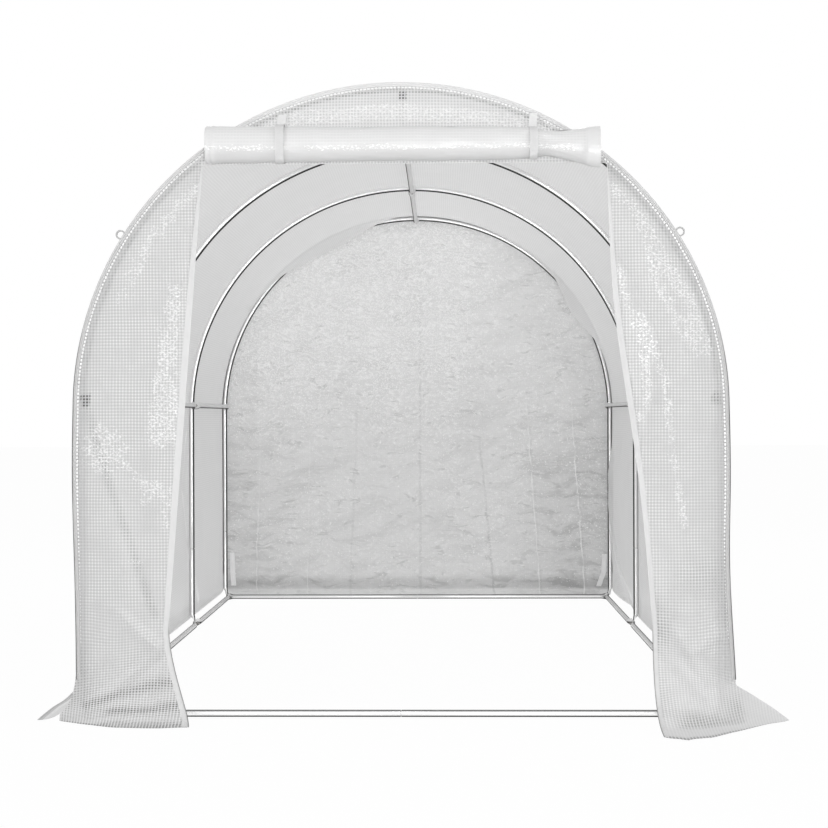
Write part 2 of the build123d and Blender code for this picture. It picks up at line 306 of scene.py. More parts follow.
def fold_lines(u, v, breaks, folds):
    """Painted light on the crest and painted shade in the hollow of each upright fold in a sheet."""
    lit_crest = shaded_hollow = u * 0.0
    for line, lean, top, light, dark in folds:
        aside = u + breaks * 0.024 - (v * lean + line + 0.012)
        reach = 1.0 - v.between(top - 0.25, top + 0.05)
        lit_crest = lit_crest.either((0.005 - abs(aside)).between(0.0, 0.005) * reach * light)
        beyond = abs(aside - 0.009 * (light > 0.3))
        shaded_hollow = shaded_hollow.either((0.010 - beyond).between(0.0, 0.009) * reach * dark)
    broken = breaks.between(0.40, 0.52) * 0.7 + 0.3
    return lit_crest * broken, shaded_hollow * broken


def crushed_cloth(name, folds):
    """The same cloth still wrinkled from its packing, with its light and shade painted on: upright
    folds painted light on their crests and dark in their hollows, long cracks and wrinkles painted
    dark as shade, painted highlight patches and glints in glossy specks, with the grid too
    flattened to see well."""
    finish, u, v, pair = new_finish(name)
    crumple, doubled, touching = map(finish.marked, MARKS)
    wander = finish.node("TexNoise", {}, {"Vector": pair, "Scale": 6.0, "Detail": 3.0}, 1)
    pulled = {0: wander, 1: (0.11, 0.11, 0.0), 2: pair}
    drawn = finish.node("VectorMath", {"operation": "MULTIPLY_ADD"}, pulled)
    turned = finish.node("VectorRotate", {"rotation_type": "Z_AXIS"}, {"Vector": drawn, "Angle": -0.42})
    lines = abs(finish.noise(finish.stretched(drawn, 3.2, 15.0), 1.0, 3.0) - 0.5)
    breaks = finish.noise(pair, 13.0, 2.0)
    cracks = (0.034 - lines).between(0.0, 0.034) * breaks.between(0.50, 0.64)
    streaks = finish.noise(finish.stretched(drawn, 5.0, 20.0), 1.0, 5.0, 0.4)
    slack = finish.noise(finish.stretched(turned, 2.2, 10.0), 1.0, 3.0)
    wrinkle_highlights = finish.noise(finish.stretched(drawn, 1.0, 1.7), 44.0, 6.0, 0.2)
    patches = breaks.between(0.36, 0.60) * crumple
    specks = finish.noise(pair, 150.0, 1.0, 0.6)
    grain = finish.noise(finish.stretched(pair, 40.0, 330.0), 1.0, 2.0)
    grain = grain.either(finish.noise(finish.stretched(pair, 330.0, 40.0), 1.0, 2.0))
    painted_glint = (specks + (wrinkle_highlights - 0.5) * 0.5 + crumple * 0.14).between(0.74, 0.80)
    lit_crest, shaded_hollow = fold_lines(u, v, breaks, folds)
    yarns = u.yarns(0.4, 0.8).either(v.yarns(0.4, 0.8))
    # Painted shade in the folds' hollows, wrinkle streaks, slack and cracks; painted highlights on
    # wrinkles, crests and glints.
    colour = finish.paint(
        finish.mix(yarns * 0.22, grey(0.62), grey(0.78)),
        (shaded_hollow * 0.75, 0.18),
        (grain.between(0.54, 0.74) * 0.34, 0.34),
        ((0.50 - streaks).between(0.0, 0.14) * (0.16 + touching), 0.22),
        ((0.49 - slack).between(0.0, 0.14) * 0.28, 0.26),
        (wrinkle_highlights.between(0.40, 0.72) * patches * 0.80, 0.90),
        (cracks * 0.55, 0.16),
        (touching * (0.95 - streaks), 0.26),
        (lit_crest * 0.85, 0.94),
        (doubled, 0.80),
        (painted_glint * 0.9, 1.0),
    )
    height = streaks * 0.009 + wrinkle_highlights * 0.010 - cracks * 0.002 + specks * 0.0006
    skin = finish.skin(colour, 0.38 - painted_glint * 0.14, height)
    return finish.use(finish.blend(0.36 - touching * 0.16, skin, finish.glow(0.90)))


def rolled_cloth():
    """The same cloth where many layers lie on each other, so that nothing shows through, with glints
    painted where it is crumpled and painted shade on its underside.
    """
    finish, u, v, pair = new_finish("rolled_cloth")
    crumple, doubled, touching = map(finish.marked, MARKS)
    yarns = (u.yarns(0.5, 0.8) * 0.5).either(v.yarns(0.5, 0.8)) * 0.4
    specks = finish.noise(finish.stretched(pair, 0.7, 1.3), 160.0, 1.0, 0.5)
    patches = finish.noise(finish.stretched(pair, 0.6, 1.2), 26.0, 3.0, 0.6)
    zone = (crumple * (patches * 3.0 - 0.3)).between(0.15, 0.95)
    painted_glint = (specks - 0.75 + zone * 0.24).between(0.0, 0.08)
    woven = finish.mix(yarns, grey(0.69), grey(0.80))
    # Painted shade on the underside, and painted glints.
    colour = finish.paint(woven, (touching, 0.65), (doubled, 0.71), (painted_glint * 0.85, 0.98))
    height = yarns * 0.0003 + painted_glint * 0.0003 + patches * 0.002
    return finish.use(finish.skin(colour, 0.36 - painted_glint * 0.16, height))


def webbing(name, level):
    """Woven strap: ribs across it and a faint edge to each."""
    finish, u, v, pair = new_finish(name)
    ribs, warp = u.ribs(0.0022), v.ribs(0.0016)
    darkened = finish.noise(pair, 60.0).between(0.45, 0.7)
    colour = finish.paint(grey(level), (ribs * warp, level * 0.9), (darkened * 0.3, level * 0.97))
    skin = finish.skin(colour, 0.6, ribs * 0.00025 + warp * 0.00015)
    return finish.use(finish.blend(0.12, skin, finish.glow(0.95)))


def smooth_tape(name, level):
    """Plain tape, woven too finely to see but for its faint ribs, paler where its mark for doubled
    cloth and painted light is set, and dark with painted shade where its painted shade mark is set."""
    finish, _, v, pair = new_finish(name)
    weave = v.ribs(0.0015)
    darkened = finish.noise(pair, 40.0, 3.0).between(0.45, 0.75)
    colour = finish.paint(
        grey(level),
        (weave * 0.3, level * 0.9),
        (darkened * 0.25, level * 0.88),
        (finish.marked("doubled"), level * 1.28),
        (finish.marked("touching") * 0.9, 0.04),
    )
    return finish.use(finish.skin(colour, 0.42, weave * 0.0002 + finish.noise(pair, 25.0) * 0.0012))


def thread():
    """Twisted white thread."""
    finish, u, v, _ = new_finish("thread")
    twist = (u + v * 0.4).ribs(0.0012)
    return finish.use(finish.skin(finish.paint(grey(0.94), (twist, 1.0)), 0.35, twist * 0.0003))


def galvanised_steel(name, level=0.97, upright=0.0, bright=0.15, narrow=0.46):
    """Bright zinc on drawn tube, painted dark along one side as shade, and along both up to the
    length that is upright, and rougher where it is painted dark. bright is how much it mirrors its
    surroundings, and narrow how narrow the painted dark side is."""
    finish, u, v, pair = new_finish(name)
    side = v.math("SINE", v * (2 * pi))
    crystals = {"Vector": finish.stretched(pair, 1.0, 0.07), "Scale": 160.0}
    spangle = finish.part(finish.node("TexVoronoi", {"feature": "F1"}, crystals, 1), 0)
    streaks = finish.noise(finish.stretched(pair, 3.0, 6.0), 4.0, 4.0)
    # Painted shade: the tube is painted dark along one side, and on its upright part along both sides.
    painted_dark_side = side.between(narrow - 0.16, narrow + 0.16)
    if upright:
        reach = 1.0 - u.between(upright - 0.1, upright + 0.1)
        painted_dark_side = painted_dark_side + (0.0 - side).between(0.52, 0.82) * reach * 0.8
    colour = finish.paint(
        grey(level),
        (spangle * 0.25, level * 0.88),
        (streaks.between(0.5, 0.8) * 0.25, level * 0.7),
        (painted_dark_side * 0.98, 0.01),
    )
    return finish.use(finish.skin(colour, 0.26 + streaks * 0.12 + painted_dark_side * 0.3, streaks * 0.0002, bright))


def zinc_bolts():
    """Passivated bolts and nuts, darker in their threads."""
    finish, u, _, pair = new_finish("zinc_bolts")
    threads = u.ribs(0.0012)
    colour = finish.mix(finish.noise(pair, 90.0, 3.0), grey(0.48, 0.03), grey(0.26, 0.04))
    return finish.use(finish.skin(colour, 0.3 + threads * 0.2, threads * 0.0002, 0.9))


def pale_floor():
    """A white floor that keeps the tunnel's shadow and meets the white background."""
    finish = Finish(bpy.data.materials.new("pale_floor"))
    paint = finish.node("BsdfDiffuse", {}, {"Color": grey(0.92)})
    light = finish.node("Emission", {}, {"Color": grey(1.0), "Strength": 1.0})
    return finish.use(finish.blend(finish.seen() * 0.97, paint, light))


def white_surroundings():
    """Soft light from all round, in front of a plain white background."""
    finish = Finish(bpy.data.worlds.new("studio"), "World")
    light = finish.node("Background", {}, {"Color": grey(1.0), "Strength": 0.52})
    white = finish.node("Background", {}, {"Color": grey(1.0), "Strength": 1.0})
    return finish.use(finish.blend(finish.seen(), light, white))


# ---------------------------------------------------------------- making meshes


def shell(points, flat, ring=False, caps=False):
    """One skin of quads over rows of points, with each corner's place on the flat material. With
    ring each row closes on itself, and flat has one more column than points."""
    rows, columns = points.shape[:2]
    i, j = np.meshgrid(np.arange(rows - 1), np.arange(columns if ring else columns - 1), indexing="ij")
    after = (j + 1) % columns
    quads = np.stack(
        [i * columns + j, i * columns + after, (i + 1) * columns + after, (i + 1) * columns + j], -1
    )
    places = np.stack([flat[i, j], flat[i, j + 1], flat[i + 1, j + 1], flat[i + 1, j]], 2)
    faces, places = quads.reshape(-1, 4).tolist(), places.reshape(-1, 2)
    if caps:
        first = list(range(columns))
        faces += [first[::-1], [(rows - 1) * columns + k for k in first]]
        places = np.concatenate([places, flat[0, :columns][::-1], flat[-1, :columns]])
    return points.reshape(-1, 3), faces, places


def piece(name, shells, finish, sharp=None):
    """A piece of the tunnel from one or more skins. sharp is the angle, in degrees, of the edges
    that stay crisp; without it the whole piece is smooth."""
    points, faces, places, count = [], [], [], 0
    for shell_points, shell_faces, shell_places in shells:
        points.append(shell_points)
        faces += [[corner + count for corner in face] for face in shell_faces]
        places.append(shell_places)
        count += len(shell_points)
    mesh = bpy.data.meshes.new(name)
    mesh.from_pydata(np.concatenate(points).tolist(), [], faces)
    layer = mesh.uv_layers.new(name="flat")
    layer.uv.foreach_set("vector", np.concatenate(places).astype(np.float32).ravel())
    mesh.materials.append(finish)
    mesh.shade_smooth()
    if sharp:
        form = bmesh.new()
        form.from_mesh(mesh)
        bmesh.ops.recalc_face_normals(form, faces=form.faces)
        form.to_mesh(mesh)
        form.free()
        mesh.set_sharp_from_angle(angle=radians(sharp))
    made = bpy.data.objects.new(name, mesh)
    bpy.context.scene.collection.objects.link(made)
    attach(made, "root")
    return made


def cloth_piece(name, points, flat, finish, slot="grid_cloth", **marks):
    """A sheet of cloth, with what its finish needs to know about each point."""
    made = piece(name, [shell(points, flat)], finish)
    for mark in MARKS:
        value = np.clip(np.broadcast_to(marks.get(mark, 0.0), points.shape[:2]), 0, 1.5)
        attribute = made.data.attributes.new(mark, "FLOAT", "POINT")
        attribute.data.foreach_set("value", value.astype(np.float32).ravel())
    return made


def smooth(value, low, high):
    """0 below low, 1 above high, and smooth between them."""
    share = np.clip((value - low) / (high - low), 0, 1)
    return share * share * (3 - 2 * share)


def lumps(u, v, size, seed):
    """Soft lumps of about that size, from -1 to 1, the same at every run."""
    heights = np.random.default_rng(seed).uniform(-1, 1, (64, 64))
    i, j = np.floor(u / size).astype(int), np.floor(v / size).astype(int)
    p, q = smooth(u / size - i, 0, 1), smooth(v / size - j, 0, 1)
    near = heights[i % 64, j % 64] * (1 - p) + heights[(i + 1) % 64, j % 64] * p
    far = heights[i % 64, (j + 1) % 64] * (1 - p) + heights[(i + 1) % 64, (j + 1) % 64] * p
    return near * (1 - q) + far * q


def waves(x, size, seed):
    """The same lumps along a line."""
    return lumps(x, x * 0, size, seed)


def pleats(u, v, size, seed):
    """Sharp-topped creases from 0 to 1."""
    return 1 - np.abs(lumps(u, v, size, seed)) ** 0.7


def fold(u, v, start, end, height, width):
    """A crease in cloth from start to end, fading at both ends."""
    run, rise = end[0] - start[0], end[1] - start[1]
    length = hypot(run, rise)
    along = ((u - start[0]) * run + (v - start[1]) * rise) / length**2
    aside = ((u - start[0]) * rise - (v - start[1]) * run) / length
    fade = smooth(along, -0.05, 0.2) * (1 - smooth(along, 0.8, 1.05))
    return height * np.exp(-np.abs(aside / width) ** 1.5) * fade


def band(distance, width):
    """1 where distance is nothing, fading out on both sides over about that width."""
    return np.exp(-((distance / width) ** 2))


def spot(u, v, centre, across, tall):
    """1 at a place on the cloth, fading out round it."""
    return band(u - centre[0], across) * band(v - centre[1], tall)


def near_line(u, v, corners):
    """Distance from a broken line on the cloth."""
    nearest = np.full(np.shape(u), 9.0)
    for (u0, v0), (u1, v1) in zip(corners, corners[1:]):
        run, rise = u1 - u0, v1 - v0
        share = np.clip(((u - u0) * run + (v - v0) * rise) / (run**2 + rise**2), 0, 1)
        nearest = np.minimum(nearest, np.hypot(u - u0 - share * run, v - v0 - share * rise))
    return nearest


def curve(t, *places):
    """A curve at t, from 0 at the first of four places to 1 at the last, drawn towards the others."""
    a, b, c, d = places
    return (1 - t) ** 3 * a + 3 * (1 - t) ** 2 * t * b + 3 * (1 - t) * t**2 * c + t**3 * d


def squared_off(wave, power):
    """A sine or cosine that draws a squarer ring, the smaller the power."""
    return np.sign(wave) * np.abs(wave) ** power


def run_lengths(points):
    """Distance travelled along a row of points."""
    steps = np.linalg.norm(np.diff(points, axis=0), axis=1)
    return np.concatenate([[0.0], np.cumsum(steps)])


def facing(points):
    """The direction each point of a sheet faces."""
    across = np.gradient(points, axis=1)
    down = np.gradient(points, axis=0)
    normal = np.cross(across, down)
    return normal / (np.linalg.norm(normal, axis=2, keepdims=True) + 1e-12)


# ---------------------------------------------------------------- steel


def tube_shell(stations, side, painted_dark_side=90, sides=24):
    """A tube through stations, each a place and the tube's width and depth there. The width is
    measured along side and the depth square to that, and a section that is much wider than deep
    has square edges, as pressed tube has. The angle after side is where round the tube lies the
    side that the steel's finish paints dark as shade, in degrees from side."""
    stations, side = np.array(stations, float), np.array(side, float)
    path, widths, depths = stations[:, :3], stations[:, 3:4], stations[:, 4:]
    tangent = np.gradient(path, axis=0)
    tangent /= np.linalg.norm(tangent, axis=1, keepdims=True)
    out = np.cross(tangent, side)
    turn = np.arange(sides) * 2 * pi / sides
    power = 1 - 0.75 * (1 - depths / np.maximum(widths, depths))
    a = squared_off(np.cos(turn), power) * widths / 2
    b = squared_off(np.sin(turn), power) * depths / 2
    points = path[:, None] + a[..., None] * side + b[..., None] * out[:, None]
    along = np.broadcast_to(run_lengths(path)[:, None], (len(path), sides + 1))
    around = np.broadcast_to(np.arange(sides + 1) / sides + 0.25 - painted_dark_side / 360, along.shape)
    return shell(points, np.stack([along, around], -1), ring=True, caps=True)


def cut_end(stations):
    """Rounds off the edge where a tube is cut square at its last station."""
    stations = np.array(stations, float)
    last = stations[-1]
    step = last[:3] - stations[-2, :3]
    step /= np.linalg.norm(step)
    edge = [
        [*(last[:3] - step * back), *(last[3:] - thinner)]
        for back, thinner in ((0.0012, 0.0), (0.0003, 0.0008), (0.0, 0.0024))
    ]
    return np.concatenate([stations[:-1], edge])


def tapered(share):
    """Width and depth of a tube that is pressed flat where share is 0 and round where it is 1."""
    return FLAT + (TUBE - FLAT) * share, PRESSED + (TUBE - PRESSED) * share


def pressed_stations(length):
    """Distances from a tube's pressed tip to where it is round, with its width and depth there."""
    stations = [(distance, FLAT - cut, PRESSED) for distance, cut in (*TIP, (length, 0.0))]
    for share in np.linspace(0.15, 1, 7):
        stations.append((length + TAPER * share, *tapered(smooth(share, 0, 1))))
    return stations


def hoop_shells(station):
    """One hoop: two legs with pressed feet, and two bent tubes that slip over them and meet at
    the crown."""
    shells = []
    line = RADIUS - TUBE / 2
    for side in (-1, 1):
        leg = [
            (side * (line - (TUBE - depth) / 2), station, height, width, depth)
            for height, width, depth in pressed_stations(FLAT)
        ]
        leg.append((side * line, station, LEG_JOINT - HALF_GAP, TUBE, TUBE))
        upper = [(side * line, station, LEG_JOINT + HALF_GAP, TUBE - 0.002, TUBE - 0.002)]
        for height in np.linspace(LEG_JOINT + 0.003, SPRING - 0.02, 6):
            upper.append((side * line, station, height, TUBE, TUBE))
        for angle in np.linspace(0, pi / 2 - HALF_GAP, 48):
            place = (side * line * cos(angle), station, SPRING + line * sin(angle))
            upper.append((*place, TUBE, TUBE))
        shells += [tube_shell(cut_end(tube), (0, 1, 0), side * 90) for tube in (leg, upper)]
    return shells


def lapped_bar(first, last, line, flat_side, layers, painted_dark_side):
    """A rail or purlin along Y between two hoops, its ends pressed flat on the side that meets
    them. line is where it runs and flat_side the way to that side, both in X and Z, and layers is
    which of the flat ends on each bolt it is, counted from the hoop."""
    ends = [(first - FLAT / 2 + r, w, d, layers[0]) for r, w, d in pressed_stations(TONGUE)]
    ends += [(last + FLAT / 2 - r, w, d, layers[1]) for r, w, d in reversed(pressed_stations(TONGUE))]
    stations = []
    for y, width, depth, layer in ends:
        flattened = (TUBE - depth) / (TUBE - PRESSED)
        shift = flattened * (TUBE / 2 - PRESSED * layer + PRESSED / 2)
        x, z = (middle + way * shift for middle, way in zip(line, flat_side))
        stations.append((x, y, z, width, depth))
    return tube_shell(stations, (abs(flat_side[1]), 0, abs(flat_side[0])), painted_dark_side)


def end_bar(way, side):
    """Half of the bar across an end of the base, its outer end pressed flat and turned back along
    the side rail's flat end. way is -1 for the front and 1 for the rear."""
    line_y = STATIONS[-1] - END_BAR_INSET
    flat_y = line_y + (TUBE - PRESSED) / 2
    tongue_x = RADIUS - TUBE - 1.5 * PRESSED
    bend = 0.0062
    turn_x, turn_y = tongue_x - bend, flat_y + bend
    plan = [(HALF_GAP, line_y, TUBE - 0.002, TUBE - 0.002)]
    plan += [(x, line_y, TUBE, TUBE) for x in (0.0016, 0.2)]
    for share in np.linspace(0, 1, 8):
        flattened = smooth(share, 0, 1)
        place = (turn_x - TAPER + TAPER * share, line_y + (flat_y - line_y) * flattened)
        plan.append((*place, *tapered(1 - flattened)))
    for angle in np.linspace(-pi / 2, 0, 7)[1:]:
        plan.append((turn_x + bend * cos(angle), turn_y + bend * sin(angle), FLAT, PRESSED))
    for back, cut in reversed(TIP):
        plan.append((tongue_x, STATIONS[-1] + FLAT / 2 - back, FLAT - cut, PRESSED))
    stations = [(side * x, way * y, FLAT / 2, width, depth) for x, y, width, depth in plan]
    return tube_shell(stations, (0, 0, 1), 180)


def turned_part(foot, axis, profile, sides):
    """A turned or hexagonal part from (distance along, radius) pairs, standing on foot."""
    axis = Vector(axis).normalized()
    across = axis.orthogonal().normalized()
    other = axis.cross(across)
    turn = [2 * pi * k / sides for k in range(sides)]
    spokes = [across * cos(angle) + other * sin(angle) for angle in turn]
    points = np.array([[Vector(foot) + axis * d + spoke * r for spoke in spokes] for d, r in profile])
    along = np.broadcast_to(np.array([d for d, _ in profile])[:, None], (len(profile), sides + 1))
    around = np.broadcast_to(np.arange(sides + 1) / sides * 0.03, along.shape)
    return shell(points, np.stack([along, around], -1), ring=True, caps=True)


def bolt_shells(face, axis, stack, tail):
    """A bolt's nut, washer and thread end, standing on a face, with the bolt's domed head on the
    far side of the stack that it clamps. tail is how far its thread stands out."""
    nut = [(0.0012, 0.0060), (0.0018, 0.0067), (0.0058, 0.0067), (0.0064, 0.0060)]
    washer = [(0.0, 0.0082), (0.0004, 0.0088), (0.0010, 0.0088), (0.0013, 0.0082)]
    screw = [(0.001, 0.0030), (tail - 0.0008, 0.0030), (tail, 0.0022)]
    head = [(0.0, 0.0072), (0.0010, 0.0070), (0.0022, 0.0052), (0.0028, 0.0025)]
    back = Vector(face) - Vector(axis).normalized() * stack
    standing = [turned_part(face, axis, *part) for part in ((nut, 6), (washer, 20), (screw, 12))]
    return standing + [turned_part(back, -Vector(axis), head, 16)]


def steel_frame():
    """Hoops, rails, purlins and end bars in galvanised tube, and the bolts that hold them."""
    # Four copies of the steel, which paint their dark side of shade where their tubes need it; the
    # purlins' copy is also painted a shade darker all over.
    hoop_steel = galvanised_steel("galvanised_hoops", upright=0.62, bright=0.6, narrow=0.54)
    rail_steel = galvanised_steel("galvanised_rails", upright=9.0, bright=0.5, narrow=0.70)
    end_steel = galvanised_steel("galvanised_ends", upright=9.0, bright=0.7)
    purlin_steel = galvanised_steel("galvanised_purlins", 0.85, narrow=0.58)
    inner = RADIUS - TUBE
    line = inner - TUBE / 2
    for number, station in zip(HOOPS, STATIONS):
        made = piece(f"hoop_tubes_{number}", hoop_shells(station), hoop_steel, sharp=50)
        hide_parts(f"hoop_{number}_legs", f"hoop_{number}_arc_left", f"hoop_{number}_arc_right")
    for bay, first, last in zip(BAYS, STATIONS, STATIONS[1:]):
        layers = (1 if bay == "front" else 2, 1)
        rails, purlins = [], []
        for side in (-1, 1):
            rail, purlin = (side * line, FLAT / 2), (side * line, PURLIN_HEIGHT)
            rails.append(lapped_bar(first, last, rail, (side, 0), layers, -135 * side))
            purlins.append(lapped_bar(first, last, purlin, (side, 0), layers, 180))
        ridge = lapped_bar(first, last, (0, SPRING + line), (0, 1), layers, 180)
        made = piece(f"side_rails_{bay}", rails, rail_steel, sharp=50)
        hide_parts(f"base_rails_{bay}")
        made = piece(f"wall_purlins_{bay}", purlins, purlin_steel, sharp=50)
        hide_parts(f"side_purlins_{bay}")
        made = piece(f"ridge_bar_{bay}", [ridge], purlin_steel, sharp=50)
        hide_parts(f"ridge_purlin_{bay}")
    for end, way in (("front", -1), ("rear", 1)):
        bars = [end_bar(way, side) for side in (-1, 1)]
        made = piece(f"end_bars_{end}", bars, end_steel, sharp=50)
        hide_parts(f"{end}_bar_left", f"{end}_bar_right")
    shells = []
    for number, station in zip(HOOPS, STATIONS):
        laps = PRESSED * (1 if number in (HOOPS[0], HOOPS[-1]) else 2)
        clamped = TUBE + laps - 0.001
        for side in (-1, 1):
            foot = (side * (inner - 2 * PRESSED), station, FLAT / 2)
            knee = (side * (inner - laps), station, PURLIN_HEIGHT)
            shells += bolt_shells(foot, (-side, 0, 0), 3 * PRESSED, 0.018)
            shells += bolt_shells(knee, (-side, 0, 0), clamped, 0.010)
        shells += bolt_shells((0, station, SPRING + inner - laps), (0, 0, -1), clamped, 0.010)
    piece("bolts", shells, zinc_bolts(), sharp=30)


# ---------------------------------------------------------------- cover


def bay_share(y):
    """Where y lies in its bay, from -1 at the hoop in front to 1 at the hoop behind, and which bay."""
    bay = np.clip(np.floor((y - STATIONS[0]) / BAY), 0, len(BAYS) - 1).astype(int)
    start = np.array(STATIONS)[bay]
    return np.clip((y - start) / BAY * 2 - 1, -1, 1), bay


def by_bay(bay, left, on_left, on_right):
    """The amount for each place's bay and side, from the amounts for the three bays."""
    return np.where(left, np.array(on_left)[bay], np.array(on_right)[bay])


def cover_sag(y, around, height):
    """How far the cover hangs in from its hoops. around is the angle from the crown, to the right,
    and height is that above the ground on the walls."""
    share, bay = bay_share(y)
    left, rear = around < 0, bay == 2
    span = 1 - np.abs(share) ** np.where(rear, 4.0, 2.0)
    on_roof = np.sin(np.clip(np.abs(around) * 2, 0, pi)) ** 0.8
    roof_hang = by_bay(bay, left, (0.012, 0.020, 0.026), (0.014, 0.018, 0.028))
    late = band(share - 0.35, 0.50) * (1 - np.abs(share) ** 5) * rear
    hang = roof_hang * on_roof * span
    hang += 0.085 * band(around + radians(26), radians(19)) * late
    hang += 0.070 * band(around - radians(58), radians(11)) * late
    on_wall = np.sin(np.clip(height / SPRING, 0, 1) * pi) * (np.abs(around) > WALL)
    wall_hang = by_bay(bay, left, (0.012, 0.016, 0.014), (0.010, 0.014, 0.034))
    return hang + wall_hang * on_wall * span


def flare_height(y, side):
    """Height above the ground at which the cover's wall starts to turn out over its skirt."""
    low = 0.055
    lifted = 0.05 * band(y - 0.95, 0.22) * (side > 0)
    front = 0.17 - 0.055 * (side > 0)
    return low + lifted + (front - low) * band(y - FRONT, 0.28)


def side_flare(t, side, foot, flare, reach, lift, near_front=1.0):
    """Across and up for the side skirt at t, from 0 where it leaves the wall to 1 at its hem. At
    the front on the right it is pulled out further and lies in a wider curve."""
    spread = near_front * (side > 0)
    across = curve(t, foot, foot + 0.010 * spread, foot + 0.035 + 0.045 * spread, reach)
    return across, curve(t, flare, flare * (0.42 + 0.45 * spread), 0.001 + 0.075 * spread, lift)


def cover_rows(y):
    """The cover's section from its left hem over the crown to its right hem, for places y along
    the tunnel: its points, and the angle of each from the crown."""
    roof = np.linspace(-pi / 2, pi / 2, 157)
    turn = np.linspace(0, 1, 24)[1:, None]
    near_front = band(y - FRONT, 0.35)
    sections = []
    for side in (-1, 1):
        uneven = 0.016 * lumps(y, y * 0 + side, 0.35, 11) + 0.008 * waves(y, 0.12, 12 + side)
        reach = SIDE_REACH - 0.022 + uneven + 0.055 * band(y - STATIONS[0], 0.16) * (side > 0)
        lift = 0.004 + 0.006 * np.clip(waves(y, 0.2, 15 + side), 0, 1) * smooth(y, FRONT, FRONT + 0.3)
        flare = flare_height(y, side)
        wall_z = SPRING + (flare - SPRING) * np.linspace(0, 1, 46)[1:, None]
        wall_x = COVER + stand_off(wall_z, side) * near_front
        x, z = side_flare(turn, side, wall_x[-1], flare, reach, lift, near_front)
        sections.append((np.concatenate([wall_x, x]) * side, np.concatenate([wall_z, z])))
    (left_x, left_z), (right_x, right_z) = sections
    arch_x = np.broadcast_to((COVER * np.sin(roof))[:, None], (len(roof), len(y)))
    arch_z = np.broadcast_to((SPRING + COVER * np.cos(roof))[:, None], arch_x.shape)
    x = np.concatenate([left_x[::-1], arch_x, right_x])
    z = np.concatenate([left_z[::-1], arch_z, right_z])
    quarter = np.full(len(left_x), pi / 2)
    around = np.concatenate([-quarter, roof, quarter])[:, None]
    return np.stack([x, np.broadcast_to(y, x.shape), z], -1), np.broadcast_to(around, x.shape)


def cover_piece(finish):
    """Roof, walls and side skirts: one sheet over all four hoops."""
    y = np.linspace(FRONT + 0.004, REAR - 0.004, 171)
    points, around = cover_rows(y)
    travelled = run_lengths(points[:, len(y) // 2])
    travelled = travelled - travelled[len(travelled) // 2]
    s = np.broadcast_to(travelled[:, None], around.shape)
    along = np.broadcast_to(y, around.shape)
    height = points[..., 2]
    low = height < SPRING
    on_left, on_right = (s < 0) * low, (s > 0) * low
    sag = cover_sag(along, around, np.where(np.abs(around) > WALL, height, SPRING))
    free = 1 - np.abs(bay_share(along)[0]) ** 6
    sag += 0.0030 * lumps(along, s * 0.5, 0.11, 21) * free
    sag += 0.0022 * pleats(along * 0.6, s, 0.16, 22) * free
    sag -= fold(along, height, (1.66, 0.85), (0.70, 0.03), 0.016, 0.022) * on_right
    sag += fold(along, height, (1.50, 0.74), (0.80, 0.10), 0.020, 0.09) * on_right
    sag -= fold(along, height, (0.42, 0.86), (0.28, 0.60), 0.010, 0.02) * on_left
    sag -= fold(along, height, (0.28, 0.62), (0.74, 0.06), 0.010, 0.02) * on_left
    sag *= smooth(height, 0.02, 0.2)
    inward = np.stack([-np.sin(around), np.zeros_like(around), -np.cos(around)], -1)
    points = points + inward * sag[..., None]
    from_hem = travelled.max() - np.abs(s)
    hem, cut_edge = 1 - smooth(from_hem, 0.018, 0.024), 1 - smooth(from_hem, 0.0, 0.008)
    on_hoop = np.min([np.abs(along - station - 0.008) for station in STATIONS], axis=0)
    crumple = 0.10 + 0.10 * smooth(lumps(along, s, 0.3, 24), 0.0, 0.8)
    right_crest = near_line(along, height, [(1.70, 0.89), (1.41, 0.57), (1.04, 0.24), (0.62, 0.06)])
    left_crest = near_line(along, height, [(0.42, 0.86), (0.27, 0.62), (0.60, 0.23), (0.74, 0.09)])
    # Painted light along the crests of the walls' folds.
    painted_crest_light = 1.4 * band(right_crest, 0.020) * on_right + 1.2 * band(left_crest, 0.016) * on_left
    # Painted shade in a band where the cloth lies on each hoop, and a dark painted shade line along the
    # cut edge.
    touching = np.maximum(0.4 * (1 - smooth(on_hoop, 0.003, 0.009)), 0.9 * cut_edge)
    flat = np.stack([along, s], -1)
    doubled = np.maximum(hem, painted_crest_light)
    made = cloth_piece("cover", points, flat, finish, crumple=crumple, doubled=doubled, touching=touching)
    names = [f"{part}_{side}" for part in ("roof", "wall", "side_skirt") for side in ("left", "right")]
    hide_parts(*names)


def stand_off(z, side):
    """How far the cover bellies out from the front hoop's legs. The right wall leans out more
    towards its foot."""
    return 0.011 * band(z - 0.78, 0.34) + 0.028 * (1 - smooth(z, 0.0, 0.6)) * (np.asarray(side) > 0)


def half_width(z, radius):
    """Half the width of the arch at a height."""
    above = np.clip(z - SPRING, 0, radius)
    return np.sqrt(np.maximum(radius**2 - above**2, 0))


def near_radius(u, v):
    """How far a place across an end is from the middle line, or from the arch's centre above that."""
    return np.where(v > SPRING, np.hypot(u, v - SPRING), np.abs(u))


def arch_heights(low, high, radius, step):
    """Heights up the side of the arch, close together where it curves over."""
    heights = list(np.arange(low, min(SPRING, high), step))
    first, last = (np.arcsin(np.clip((z - SPRING) / radius, 0, 1)) for z in (max(low, SPRING), high))
    angles = np.linspace(first, last, max(2, round((last - first) * radius / step)))
    return np.array(heights + list(SPRING + radius * np.sin(angles)))


